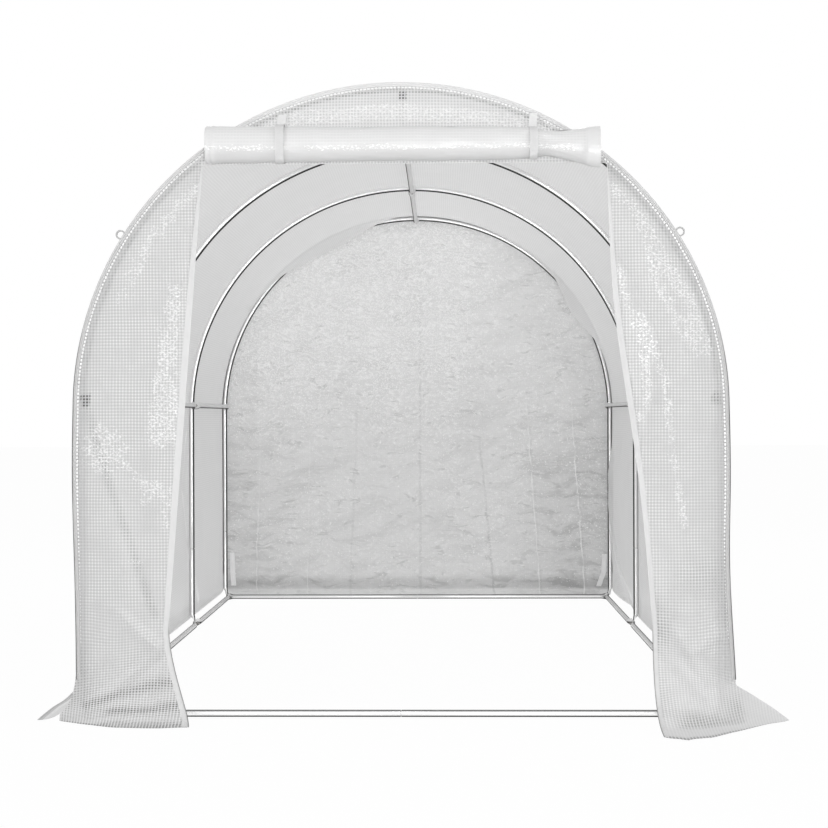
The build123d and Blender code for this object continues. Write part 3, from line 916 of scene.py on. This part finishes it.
def rear_relief(x, z):
    """How far the rear sheet stands out from flat: the folds it was packed in, and fine wrinkles."""
    across, rise = np.clip(x / COVER, -1, 1), np.clip(z / (SPRING + COVER), 0, 1)
    bulge = 0.018 * np.cos(across * pi / 2) * np.sin(rise * pi)
    bulge += 0.006 * lumps(x, z, 0.28, 31) + 0.0016 * lumps(x, z * 1.6, 0.07, 32)
    bulge += 0.0018 * pleats(x * 0.45, z * 1.5, 0.06, 33) + 0.0012 * pleats(x * 0.8, z * 1.2, 0.035, 34)
    wander = 0.006 * waves(z, 0.4, 35)
    for line, lean, top, *_ in REAR_FOLDS:
        crease = np.exp(-np.abs((x - line - lean * z - wander) / 0.010))
        bulge += 0.0045 * crease * (1 - smooth(z, top - 0.2, top))
    for line in (0.42, 0.80, 1.18, 1.55):
        bulge += 0.0025 * np.exp(-np.abs((z - line) / 0.010))
    return bulge


def rear_marks(u, v):
    """Where glints are painted on the rear sheet, where it is doubled, where painted light makes it
    paler towards the top, and where painted shade darkens it.
    """
    low = v - v.min()
    hem = 1 - smooth(low, 0.018, 0.024)
    hem_fold = smooth(v, 0.0, 0.004) * (1 - smooth(v, 0.035, 0.040)) * 0.2
    crumple = 0.50 + 0.30 * smooth(lumps(u, v, 0.18, 39), -0.5, 0.7)
    crumple = crumple * (0.25 + 0.75 * smooth(v, -0.05, 0.3))
    crumple += 0.95 * smooth(v, 0.7, 1.4) * (1 - smooth(u, 0.1, 0.6))
    # Painted light: paler towards the top left.
    painted_upper_light = 0.34 * smooth(v, 0.95, 1.45) * (1 - smooth(u, 0.2, 0.7))
    # Painted shade: darker low down, in a band just above the hem, in pleats and lower down on the right,
    # at the left edge, and towards both lower corners.
    shade = 0.05 * (1 - smooth(v, 0.05, 1.5))
    shade += 0.7 * smooth(v, 0.035, 0.050) * (1 - smooth(v, 0.085, 0.13))
    shade += 0.30 * smooth(u, 0.45, 0.9) * smooth(v, 0.8, 1.2) * pleats(u + v * 0.5, v * 0.4, 0.08, 81)
    shade += 0.20 * smooth(u, 0.3, 0.8) * (1 - smooth(v, 0.9, 1.1)) + 0.12 * (u < -0.82)
    shade += (0.20 + 0.15 * (u > 0)) * smooth(np.abs(u), 0.40, 0.85) * (1 - smooth(v, 0.6, 1.0))
    doubled = np.maximum(np.maximum(0.3 * hem, hem_fold), painted_upper_light)
    return {"crumple": crumple, "doubled": doubled, "touching": shade}


def rear_piece(finish):
    """The closed end: one sheet from the crown to its skirt on the ground behind."""
    heights = arch_heights(SHEET_TURN + 0.01, SPRING + COVER - 0.0002, COVER, 0.0125)[::-1]
    share = np.linspace(-1, 1, 165)
    x = share * half_width(heights, COVER)[:, None]
    z = np.broadcast_to(heights[:, None], x.shape)
    pinned = smooth(1 - np.abs(share), 0.0, 0.10) * smooth(SPRING + COVER - z, 0.0, 0.05)
    y = REAR + rear_relief(x, z) * pinned - 0.001
    turn, lowest = np.linspace(0, 1, 22)[1:, None], heights[-1]
    foot_x = share * COVER
    reach = 0.135 + 0.03 * waves(foot_x, 0.4, 36) + 0.012 * waves(foot_x, 0.1, 37)
    lift = 0.003 + 0.005 * np.clip(waves(foot_x, 0.11, 38), 0, 1)
    skirt_y = y[-1] + curve(turn, 0, 0, reach * 0.3, reach)
    skirt_z = curve(turn, lowest, lowest * 0.4, 0, lift)
    skirt = np.stack([np.broadcast_to(foot_x, skirt_y.shape), skirt_y, skirt_z], -1)
    points = np.concatenate([np.stack([x, y, z], -1), skirt])
    travelled = lowest - run_lengths(points[len(heights) - 1 :, points.shape[1] // 2])[1:]
    u, v = points[..., 0], np.concatenate([z, np.broadcast_to(travelled[:, None], skirt_y.shape)])
    flat = np.stack([u, v], -1)
    marks = {name: value[:, ::-1] for name, value in rear_marks(u, v).items()}
    made = cloth_piece("rear_sheet", points[:, ::-1], flat[:, ::-1], finish, **marks)
    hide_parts("rear_panel", "rear_skirt")


# ---------------------------------------------------------------- front


def door_edge(z, side):
    """How far the doorway's edge is from the middle at a height. The cloth hangs a little to the
    right of where it was cut to hang."""
    rise = np.clip((z - SHEET_TURN) / (DOOR_TOP - SHEET_TURN), 0, 1)
    pulled = 0.006 * np.sin(rise * pi) + 0.006 * np.sin(rise * 9 + side)
    drawn = (0.036 * (1 - smooth(z, 0.30, 1.35)) - pulled) * (side > 0)
    return DOOR_FOOT_HALF + (DOOR_TOP_HALF - DOOR_FOOT_HALF) * rise + side * 0.015 + drawn


def front_relief(x, z, side):
    """How far a front sheet stands out towards the doorway's side of flat."""
    folds = {
        -1: (((-0.89, 0.36), (-0.73, 0.20), 0.014, 0.018), ((-0.95, 0.75), (-0.80, 0.30), 0.008, 0.04)),
        1: (
            ((0.88, 0.20), (1.00, 0.28), 0.012, 0.016),
            ((0.84, 0.30), (0.95, 0.05), 0.010, 0.018),
            ((0.80, 1.30), (0.74, 0.80), 0.008, 0.03),
        ),
    }
    free = smooth(half_width(z, COVER) - np.abs(x), 0.02, 0.12)
    soft = 0.006 * lumps(x, z, 0.3, 41 + side) + 0.0022 * lumps(x, z * 0.5, 0.06, 43 + side)
    relief = (0.010 + soft + 0.0030 * pleats(x, z * 0.3, 0.09, 45 + side)) * free
    return relief + sum(fold(x, z, *crease) for crease in folds[side])


def front_cloth(side, share, level):
    """Points of a front sheet. share runs from 0 at the doorway to 1 at the arch, and level from 1
    at the top of the doorway through 0, where the sheet starts to turn out, to -1 at its hem."""
    share, level = np.broadcast_arrays(share, level)
    up, down, foot = np.clip(level, 0, 1), np.clip(-level, 0, 1), FEET[side]
    door_turn, arch_turn = foot["turn"]
    turn = door_turn + (arch_turn - door_turn) * share
    z = turn + up * (DOOR_TOP - turn)
    inner, outer = door_edge(z, side), half_width(z, COVER) + stand_off(z, side)
    x = inner + share * (outer - inner)
    knots = np.linspace(0, 1, len(foot["hem"]))
    hem_x, hem_out = (np.interp(share, knots, line) for line in zip(*foot["hem"]))
    out = hem_out * curve(down, 0, 0, 0.25, 1)
    x = x + (hem_x - x) * curve(down, 0, 0, 0.25 if side > 0 else 0.85, 1)
    wall, flare = COVER + stand_off(arch_turn, side), flare_height(FRONT, side)
    edge_x, edge_z = side_flare(np.linspace(0, 1, 40), side, wall, flare, foot["tip"], 0.004)
    curl = foot["curl"] * 0.4
    z = np.where(down > 0, turn * curve(down, 1, 0.45 + curl, curl, 0) + down**3 * 0.004, z)
    beside = np.minimum(np.interp(z[:, -1:], edge_z[::-1], edge_x[::-1]), hem_x[:, -1:])
    x = np.where(down > 0, x + (beside - x[:, -1:]) * smooth(share, 0.5, 1.0), x)
    flat_z = np.where(down > 0, turn - down * (turn + 0.05 + hem_out * 0.7), z)
    relief = front_relief(side * x, flat_z, side) * (1 - 0.7 * down)
    y = FRONT - relief * smooth(share * (outer - inner) + 0.02, 0, 0.05) - out
    ripple = 0.006 * waves(share * 0.4, 0.07, 47 + side) * down**2
    points = np.stack([side * x, y - ripple, z + np.abs(ripple) * 0.5], -1)
    drift = 0.010 * lumps(x, flat_z, 0.11, 49) * (1 - smooth(flat_z, 0.2, 0.4))
    return points, np.stack([side * x, flat_z + drift], -1)


def near_arch(u, v, inside, width):
    """1 on a band that follows the arch that far inside it."""
    return band(RADIUS - near_radius(u, v) - inside, width)


def left_marks(u, v):
    """Where glints are painted on the left front sheet, a slanting line of painted shade, and folds
    painted lighter.
    """
    crumple = 0.9 * near_arch(u, v, 0.080, 0.030) * smooth(v, 1.22, 1.35)
    crumple += 1.1 * band(near_line(u, v, [(-0.69, 1.32), (-0.715, 1.15), (-0.74, 0.88)]), 0.038)
    crumple += 1.1 * band(near_line(u, v, [(-0.86, 0.80), (-0.78, 0.73)]), 0.012)
    for amount, *place in (
        (1.0, (-0.71, 0.96), 0.055, 0.10),
        (1.6, (-0.915, 0.84), 0.074, 0.075),
        (1.3, (-0.75, 0.70), 0.050, 0.045),
        (0.8, (-0.72, 0.61), 0.022, 0.06),
        (0.9, (-0.82, 0.49), 0.045, 0.014),
    ):
        crumple += amount * spot(u, v, *place)
    # A slanting line of painted shade.
    slant = near_line(u, v, [(-0.960, 0.965), (-0.939, 0.869), (-0.755, 0.326)])
    touching = 0.55 * (1 - smooth(slant, 0.007, 0.018)) * (0.7 + 0.3 * lumps(u, v, 0.05, 56))
    # Folds painted lighter.
    doubled = fold(u, v, (-0.92, 0.34), (-0.72, 0.18), 0.5, 0.020)
    return crumple, touching, doubled + fold(u, v, (-0.99, 0.30), (-0.90, 0.30), 0.8, 0.012)


def right_marks(u, v):
    """Where glints are painted on the right front sheet, in streaks drawn down from the roll's end,
    and folds and an upright line painted lighter.
    """
    crumple = 0.6 * near_arch(u, v, 0.075, 0.020) * smooth(v, 1.0, 1.2) * (1 - smooth(v, 1.45, 1.6))
    for corners, width in (
        ([(0.65, 1.64), (0.74, 1.555), (0.785, 1.355), (0.815, 1.29), (0.89, 1.155)], 0.022),
        ([(0.76, 1.53), (0.825, 1.39), (0.898, 1.29), (0.946, 1.14)], 0.020),
        ([(0.672, 1.39), (0.702, 1.28), (0.738, 1.186), (0.762, 0.99), (0.737, 0.93)], 0.020),
        ([(0.74, 1.25), (0.814, 1.05), (0.835, 0.82), (0.874, 0.60)], 0.018),
    ):
        crumple += 0.98 * band(near_line(u, v, corners), width)
    # Folds and an upright line painted lighter.
    ends = (((0.90, 0.42), (0.90, 0.25)), ((0.89, 0.40), (0.97, 0.45)), ((0.80, 0.22), (0.91, 0.03)))
    doubled = sum(fold(u, v, first, last, 0.7, 0.010) for first, last in ends)
    doubled = doubled + 0.6 * spot(u, v, (0.95, 0.72), 0.06, 0.22)
    return crumple, 0 * u, doubled + 0.5 * band(near_line(u, v, [(0.83, 0.95), (0.84, 0.20)]), 0.012)


def front_marks(u, v, side):
    """Where glints are painted on the front sheets, where painted shade darkens them, and where they
    are doubled, and where light is painted along their folds.
    """
    radial, right = near_radius(u, v), side > 0
    crumple, touching, doubled = (right_marks if right else left_marks)(u, v)
    # Painted shade: a band along the hoop behind the sheet, dark cells at the knee where the wall purlin
    # meets the hoop, and darker towards the foot in patches and lines.
    on_hoop = (1 - smooth(np.abs(radial - SEAM), 0.003, 0.008)) * smooth(v, 0.95, 1.1)
    touching = touching + 0.30 * on_hoop * (0.75 + 0.25 * lumps(u, v, 0.06, 55))
    knee = (np.abs(radial - 0.969) < 0.016) & (np.abs(v - PURLIN_HEIGHT) < 0.017)
    patchy = smooth(lumps(u, v, 0.15, 57 + side), -0.6, 0.6)
    foot_shade = (0.52 + 0.30 * right) * (1 - smooth(v, -0.05, 0.45 + 0.35 * right)) * patchy
    for corners in (
        [(-0.96, 0.03), (-0.775, 0.08), (-0.70, 0.10)],
        [(-0.88, -0.02), (-0.68, 0.0)],
        [(-0.90, -0.10), (-0.66, -0.10)],
    ):
        foot_shade = foot_shade + 0.75 * band(near_line(u, v, corners), 0.020)
    on_tube = smooth(radial, RADIUS - TUBE - 0.016, RADIUS - TUBE - 0.006) * smooth(v, 0.9, 1.1)
    in_seam = smooth(radial, 0.968, 0.972) * (1 - smooth(v, 0.9, 1.1))
    touching = np.clip(np.maximum(touching, (1.0 - 0.4 * side) * knee) + foot_shade, 0, 1.5)
    return crumple, touching, np.clip(doubled + 0.8 * in_seam + 0.45 * on_tube, 0, 1)


def front_pieces(finish, tape):
    """The sheets on each side of the doorway, and the tape down their edges."""
    levels = np.concatenate([np.linspace(1, 0, 120), np.linspace(0, -1, 40)[1:-1], [-0.985, -1]])
    levels = levels[:, None]
    for side, word in ((-1, "left"), (1, "right")):
        order = slice(None, None, -side)
        points, flat = front_cloth(side, np.linspace(0, 1, 44), levels)
        u, v = flat[..., 0], flat[..., 1]
        crumple, touching, doubled = front_marks(u, v, side)
        doubled = np.maximum(doubled, 1 - smooth(levels + 1, 0.03, 0.05))
        if side > 0:
            hem = np.maximum(smooth(-levels, 0.80, 0.86), smooth(u, 1.03, 1.05) * (levels < 0))
            doubled, touching = np.maximum(doubled, 1.4 * hem), touching * (1 - 0.9 * hem)
        # Painted shade: a dark line along the hem.
        touching = np.maximum(touching, 1.5 * (1 - smooth(levels + 1, 0.015, 0.045)))
        made = cloth_piece(
            f"front_sheet_{word}", points[:, order], flat[:, order], finish,
            crumple=crumple[:, order], touching=touching[:, order], doubled=doubled[:, order],
        )
        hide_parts(f"front_panel_{word}")
        if side > 0:
            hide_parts("front_skirts")
        strip = np.linspace(0, 1, 5) * (TAPE / 0.30)
        points, flat = front_cloth(side, strip, levels)
        points = points[:, order]
        points = points + facing(points) * 0.0015
        # Painted shade along the tape's doorway edge, from where the sheet turns out down to its hem.
        darkened = (1 - smooth(strip, 0.0, TAPE)) * smooth(-levels, -0.05, 0.10)
        made = cloth_piece(
            f"door_tape_{word}", points, flat[:, order], tape, "white_webbing", touching=darkened[:, order]
        )
        if side > 0:
            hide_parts("zip_tapes")


def lintel_piece(finish):
    """The sheet over the doorway, up to the crown."""
    heights = arch_heights(DOOR_TOP, SPRING + COVER - 0.0002, COVER, 0.011)[::-1]
    x = np.linspace(-1, 1, 130) * half_width(heights, COVER)[:, None]
    z = np.broadcast_to(heights[:, None], x.shape)
    radial = near_radius(x, z)
    relief = 0.010 + 0.004 * lumps(x, z, 0.2, 61) + 0.003 * pleats(x * 0.5, z * 1.3, 0.05, 62)
    y = FRONT - relief * smooth(COVER - radial, 0.018, 0.070)
    # Glints painted along a crest and beside the seam.
    lit_crest = [(-0.583, 1.763), (-0.304, 1.858), (0.004, 1.874), (0.25, 1.856), (0.45, 1.824)]
    by_seam = band(radial - 0.925, 0.012) * smooth(np.abs(x), 0.30, 0.5)
    crumple = 0.2 + 1.8 * band(near_line(x, z, lit_crest), 0.020) + 0.6 * by_seam
    # Painted shade: a band where the sheet lies on the hoop, a patch on the ridge bar and a thin line
    # down the middle.
    middle = np.abs(x - 0.012)
    on_purlin = (middle < 0.012) & (np.abs(z - 1.924) < 0.014)
    touching = 1 - smooth(np.abs(radial - SEAM), 0.003, 0.006) + 0.5 * (middle < 0.005) * (z < 1.91)
    flat = np.stack([x, z], -1)
    made = cloth_piece(
        "lintel_sheet", np.stack([x, y, z], -1), flat, finish,
        crumple=crumple, touching=np.maximum(touching * 0.45, on_purlin),
    )
    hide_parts("lintel_panel")


def end_face(way):
    """Where an end sheet lies: way is -1 for the front and 1 for the rear."""
    return FRONT if way < 0 else REAR


def arch_path(way, radius, low, count=120):
    """A line up one leg, over the arch and down the other: points, and the outward direction. way
    is -1 at the front, where the cover bellies out, and 1 at the rear."""
    legs = np.linspace(low, SPRING, 40)[:-1]
    angles = np.linspace(-pi / 2, pi / 2, count)
    x = np.concatenate([np.full(len(legs), -1.0), np.sin(angles), np.full(len(legs), 1.0)])
    z = np.concatenate([np.zeros(len(legs)), np.cos(angles), np.zeros(len(legs))])
    centre_z = np.concatenate([legs, np.full(count, SPRING), legs[::-1]])
    outward = np.stack([x, np.zeros_like(x), z], -1)
    points = outward * radius
    points[:, 2] += centre_z
    points[:, 0] += x * stand_off(centre_z, x) * (way < 0)
    return points, outward


def arch_welt(way, name, tape):
    """The welt that joins an end sheet to the cover, bent round the end hoop."""
    path, outward = arch_path(way, 0.0, 0.13)
    section = [
        path + outward * (COVER + radial) + np.array([0, end_face(way) + way * out, 0])
        for radial, out, _ in WELT
    ]
    points, across = np.stack(section, 1), np.array([place for *_, place in WELT])
    travelled = run_lengths(points[:, 5])
    flat = np.stack(np.broadcast_arrays(travelled[:, None], across[None]), -1)
    foot = np.minimum(travelled, travelled[-1] - travelled)[:, None]
    # A dark line of painted shade along the front welt's edge, and the welt painted paler over the arch.
    edge = smooth(across, 0.023, 0.026) * (1 - smooth(across, 0.034, 0.038))
    edge = 1.2 * edge * (1 - smooth(foot, 0.90, 1.20)) * (0.8 + 0.2 * waves(foot, 0.1, 82)) * (way < 0)
    points, flat, edge = (grid[:, ::-way] for grid in (points, flat, edge))
    cloth_piece(name, points, flat, tape, touching=edge, doubled=smooth(foot, 1.3, 2.1))


def stitch(centre, along, out, length, width, height):
    """One long stitch lying on the cloth."""
    across, turn = np.cross(along, out), np.arange(8) * pi / 4
    rows = []
    for share, wide in ((-0.5, 0.25), (-0.42, 0.8), (-0.2, 1.0), (0.2, 1.0), (0.42, 0.8), (0.5, 0.25)):
        middle = centre + along * length * share
        a, b = across * width / 2 * wide, out * height * wide
        rows.append([middle + a * cos(angle) + b * (sin(angle) * 0.6 + 0.4) for angle in turn])
    down = np.broadcast_to(np.linspace(0, length, len(rows))[:, None], (len(rows), 9))
    around = np.broadcast_to(np.arange(9) / 8 * width, down.shape)
    return shell(np.array(rows), np.stack([down, around], -1), ring=True, caps=True)


def seam_stitches(way, name, finish):
    """Long bright stitches through the welt's inner edge, all the way round an end. They are drawn
    shorter towards the ground."""
    path, _ = arch_path(way, COVER - 0.0160, 0.235, 240)
    travelled = run_lengths(path)
    pitch = 0.0116
    shells = []
    for place in np.arange(pitch, travelled[-1] - pitch, pitch):
        ends = (place, place + 0.004)
        centre, ahead = np.stack([np.interp(ends, travelled, line) for line in path.T], -1)
        direction = (ahead - centre) / np.linalg.norm(ahead - centre)
        centre[1] = end_face(way) + way * 0.0022
        drawn = 0.45 + 0.55 * smooth(min(place, travelled[-1] - place), 0.12, 0.45)
        length, width = 0.0092 * drawn, 0.0058 * drawn
        shells.append(stitch(centre, direction, np.array([0, way, 0]), length, width, 0.0014))
    piece(name, shells, finish, sharp=60)


# ---------------------------------------------------------------- rolled door


def roll_form(x):
    """The rolled door's height, depth and middle at a place along it. A strap pinches it near its
    right-hand end, and beyond that it flares out to its hem."""
    places = (-0.60, -0.40, 0.30, 0.400, 0.450, 0.58, 0.62)
    tall = np.interp(x, places, (0.114, 0.113, 0.107, 0.096, 0.072, 0.118, 0.125))
    deep = np.interp(x, places, (0.082, 0.082, 0.082, 0.076, 0.054, 0.080, 0.084))
    middle = np.interp(x, places, (0.0560, 0.0560, 0.0560, 0.0550, 0.0535, 0.0440, 0.0420))
    return tall + 0.002 * waves(x, 0.15, 71), deep + 0.002 * waves(x, 0.2, 72), ROLL_LOW.z + middle


def roll_piece(finish):
    """The door rolled up over the opening, its layers showing at both ends."""
    low, high = ROLL_LOW.x + 0.013, ROLL_HIGH.x + 0.012
    left_end = low + np.array([0, 0.004, 0.008, 0.0125, 0.0165, 0.020, 0.024])
    right_end = high - 0.048 + np.array([0.002, 0.006, 0.010, 0.022, 0.034, 0.042, 0.048])
    x = np.concatenate([left_end, np.linspace(low + 0.032, high - 0.06, 130), right_end])
    turns, gap = 5.6, 0.0058
    turn = np.linspace(0, turns * 2 * pi, 250)
    tall, deep, middle = (value[:, None] for value in roll_form(x))
    inset = (turns * 2 * pi - turn) / (2 * pi) * gap
    outer = inset < gap * 0.98
    angle = turn + radians(215)
    up, toward_back = np.sin(angle), np.cos(angle)
    hems = np.exp(-(((x - low - 0.006) / 0.006) ** 4))
    hems = np.maximum(hems, np.exp(-(((x - low - 0.024) / 0.007) ** 4)))
    collar = smooth(x, high - 0.046, high - 0.040)
    proud = (0.0022 * hems + 0.0026 * collar)[:, None] * outer
    along, around = np.broadcast_arrays(x[:, None], angle)
    pinched = band(x - 0.445, 0.07)[:, None]
    crinkle = 0.0016 * lumps(along, around * 0.05, 0.05, 73)
    crinkle += 0.0014 * pleats(along * 0.5, around * 0.06, 0.05, 74)
    crinkle += pinched * 0.006 * (pleats(along * 0.25, around * 0.06, 0.035, 75) - 0.6)
    thicker = proud + crinkle * outer - inset
    y = ROLL_MIDDLE + squared_off(toward_back, 0.88) * (deep / 2 + thicker)
    z = middle + squared_off(up, 0.88) * (tall / 2 + thicker)
    points = np.stack([along, y, z], -1)
    travelled = run_lengths(points[60])
    u, v = np.broadcast_arrays(x[:, None], travelled[None])
    # Glints painted in a band along the lit front of the roll, and painted shade on its underside.
    lit = band(up + 0.30, 0.17) * (toward_back < 0) * outer
    crumple = 0.72 * lit * smooth(lumps(u, v * 0.5, 0.08, 76), -1.8, 0.2) + 0.1 + 0.3 * pinched
    doubled = np.maximum(hems, collar)[:, None] * outer
    made = cloth_piece(
        "rolled_door_cloth", points, np.stack([u, v], -1), finish, "rolled_cloth",
        crumple=crumple, doubled=doubled, touching=smooth(-up, 0.0, 0.7),
    )
    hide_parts("rolled_door")


def strap_shell(path, side, width, thickness=0.0010):
    """Flat strap along a path, with its width along side."""
    return tube_shell([(*place, width, thickness) for place in path], side, 12)


def tie_straps(finish, tail_finish):
    """Straps round the rolled door, and their tails, sewn to the sheet above it."""
    shells, tails = [], []
    for x, width in ((TIES[0].x + 0.0125, 0.026), (TIES[1].x - 0.0125, 0.024)):
        tall, deep, middle = (float(value) for value in roll_form(np.array(x)))
        tall, deep = tall / 2 + 0.0024, deep / 2 + 0.0024
        ring = []
        for angle in np.linspace(radians(65), radians(65 + 330), 90):
            a, b = squared_off(cos(angle), 0.85), squared_off(sin(angle), 0.85)
            ring.append((x, ROLL_MIDDLE + a * deep, middle + b * tall))
        shells.append(strap_shell(ring, (1, 0, 0), width))
        tail = [
            (x, ROLL_MIDDLE + deep * 0.5, middle + tall * 0.95),
            (x, FRONT - 0.018, middle + tall + 0.008),
            (x + 0.002, FRONT - 0.0145, middle + tall + 0.03),
            (x + 0.004, FRONT - 0.008, TIES[1].z - 0.005),
        ]
        tails.append(strap_shell(tail, (1, 0, 0), width))
    piece("tie_tails", tails, tail_finish, sharp=60)
    made = piece("tie_straps", shells, finish, sharp=60)
    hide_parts("door_ties")


def corner_ties(finish):
    """Straps that hold the rear sheet's bottom corners to the last hoop."""
    shells = []
    for line in (
        [(-0.955, 0.24), (-0.952, 0.15), (-0.946, 0.07)],
        [(0.962, 0.23), (0.957, 0.14), (0.930, 0.065)],
    ):
        path = [(x, REAR - 0.016 - 0.004 * k, z) for k, (x, z) in enumerate(line)]
        shells.append(strap_shell(path, (1, 0, 0), 0.026))
    piece("corner_ties", shells, finish, sharp=60)


def guy_loops(finish):
    """Webbing loops on the cover over both end hoops, for the guy lines."""
    angle, radius = radians(32), 0.0125
    for end, word in ((0, "front"), (-1, "rear")):
        shells = []
        for side in (-1, 1):
            out = np.array([side * cos(angle), 0, sin(angle)])
            along = np.array([-side * sin(angle), 0, cos(angle)])
            foot = np.array([0, STATIONS[end], SPRING]) + out * (COVER + 0.003)
            loop = [
                foot + out * (0.0150 + radius * sin(turn)) + along * radius * cos(turn)
                for turn in np.linspace(radians(-62), radians(242), 40)
            ]
            base = [foot + along * s + out * 0.00118 for s in np.linspace(-0.016, 0.016, 6)]
            shells.append(strap_shell(loop, (0, 1, 0), 0.010, 0.0050))
            shells.append(strap_shell(base, (0, 1, 0), 0.020, 0.0020))
        made = piece(f"guy_tabs_{word}", shells, finish, sharp=60)
        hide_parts(f"guy_loops_{word}")


# ---------------------------------------------------------------- studio


def studio():
    """A white floor and background, soft light, and the camera in front of the doorway."""
    scene = bpy.context.scene
    scene.view_settings.view_transform = "Standard"
    scene.world = white_surroundings()
    floor = bpy.data.meshes.new("floor")
    floor.from_pydata([(-40, -40, 0), (40, -40, 0), (40, 40, 0), (-40, 40, 0)], [], [(0, 1, 2, 3)])
    floor.materials.append(pale_floor())
    ground = bpy.data.objects.new("floor", floor)
    ground.location.z = -0.0005
    scene.collection.objects.link(ground)
    for name, place, aim, size, power in (
        ("flash", (0.3, -6.4, 1.25), (0.0, 0.0, 1.1), 0.5, 84),
        ("left_box", (-4.2, -4.0, 3.2), (0.0, -0.5, 0.9), 2.4, 60),
        ("right_box", (4.4, -3.2, 3.0), (0.0, -0.5, 0.9), 2.4, 50),
        ("top_box", (0.0, 0.5, 5.5), (0.0, 0.0, 0.5), 3.5, 12),
        ("back_box", (0.3, 5.2, 4.0), (0.0, 1.5, 1.4), 2.5, 70),
    ):
        lamp = bpy.data.lights.new(name, "AREA")
        lamp.size, lamp.energy = size, power
        holder = bpy.data.objects.new(name, lamp)
        holder.location = place
        holder.rotation_euler = (Vector(aim) - Vector(place)).to_track_quat("-Z", "Y").to_euler()
        scene.collection.objects.link(holder)
    lens = bpy.data.cameras.new("camera")
    lens.sensor_width, lens.lens = 36.0, 63.47
    camera = bpy.data.objects.new("camera", lens)
    camera.matrix_world = Matrix.Translation((0.1302, -6.0082, 0.9396))
    for angle, axis in ((0.0192, "Z"), (pi / 2 + 0.0015, "X"), (-0.0034, "Z")):
        camera.matrix_world = camera.matrix_world @ Matrix.Rotation(angle, 4, axis)
    scene.collection.objects.link(camera)
    scene.camera = camera


studio()
steel_frame()
# The lintel's cloth is a lighter copy of the grid cloth, painted light; the roof's is a slightly darker
# copy, painted shade, with a fainter grid and light painted along its folds.
cloth, lintel_cloth = grid_cloth("grid_cloth"), grid_cloth("grid_cloth_lintel_painted_light", 0.72, 0.84)
roof_cloth = grid_cloth("grid_cloth_taut_painted_shade", 0.54, 0.64, 0.68, through=0.36, grip=0.45, folded=1.0)
welt_tape = smooth_tape("welt_tape", 0.62)
white_thread = thread()
cover_piece(roof_cloth)
rear_piece(crushed_cloth("grid_cloth_crushed", REAR_FOLDS))
front_pieces(cloth, smooth_tape("door_tape", 0.74))
lintel_piece(lintel_cloth)
for way, word in ((-1, "front"), (1, "rear")):
    arch_welt(way, f"welt_{word}", welt_tape)
    seam_stitches(way, f"stitches_{word}", white_thread)
roll_piece(rolled_cloth())
# The straps' tails are a lighter copy of the same webbing, painted light.
tie_straps(webbing("white_webbing", 0.82), webbing("webbing_painted_light", 0.96))
corner_ties(smooth_tape("tie_tape", 1.0))
guy_loops(welt_tape)
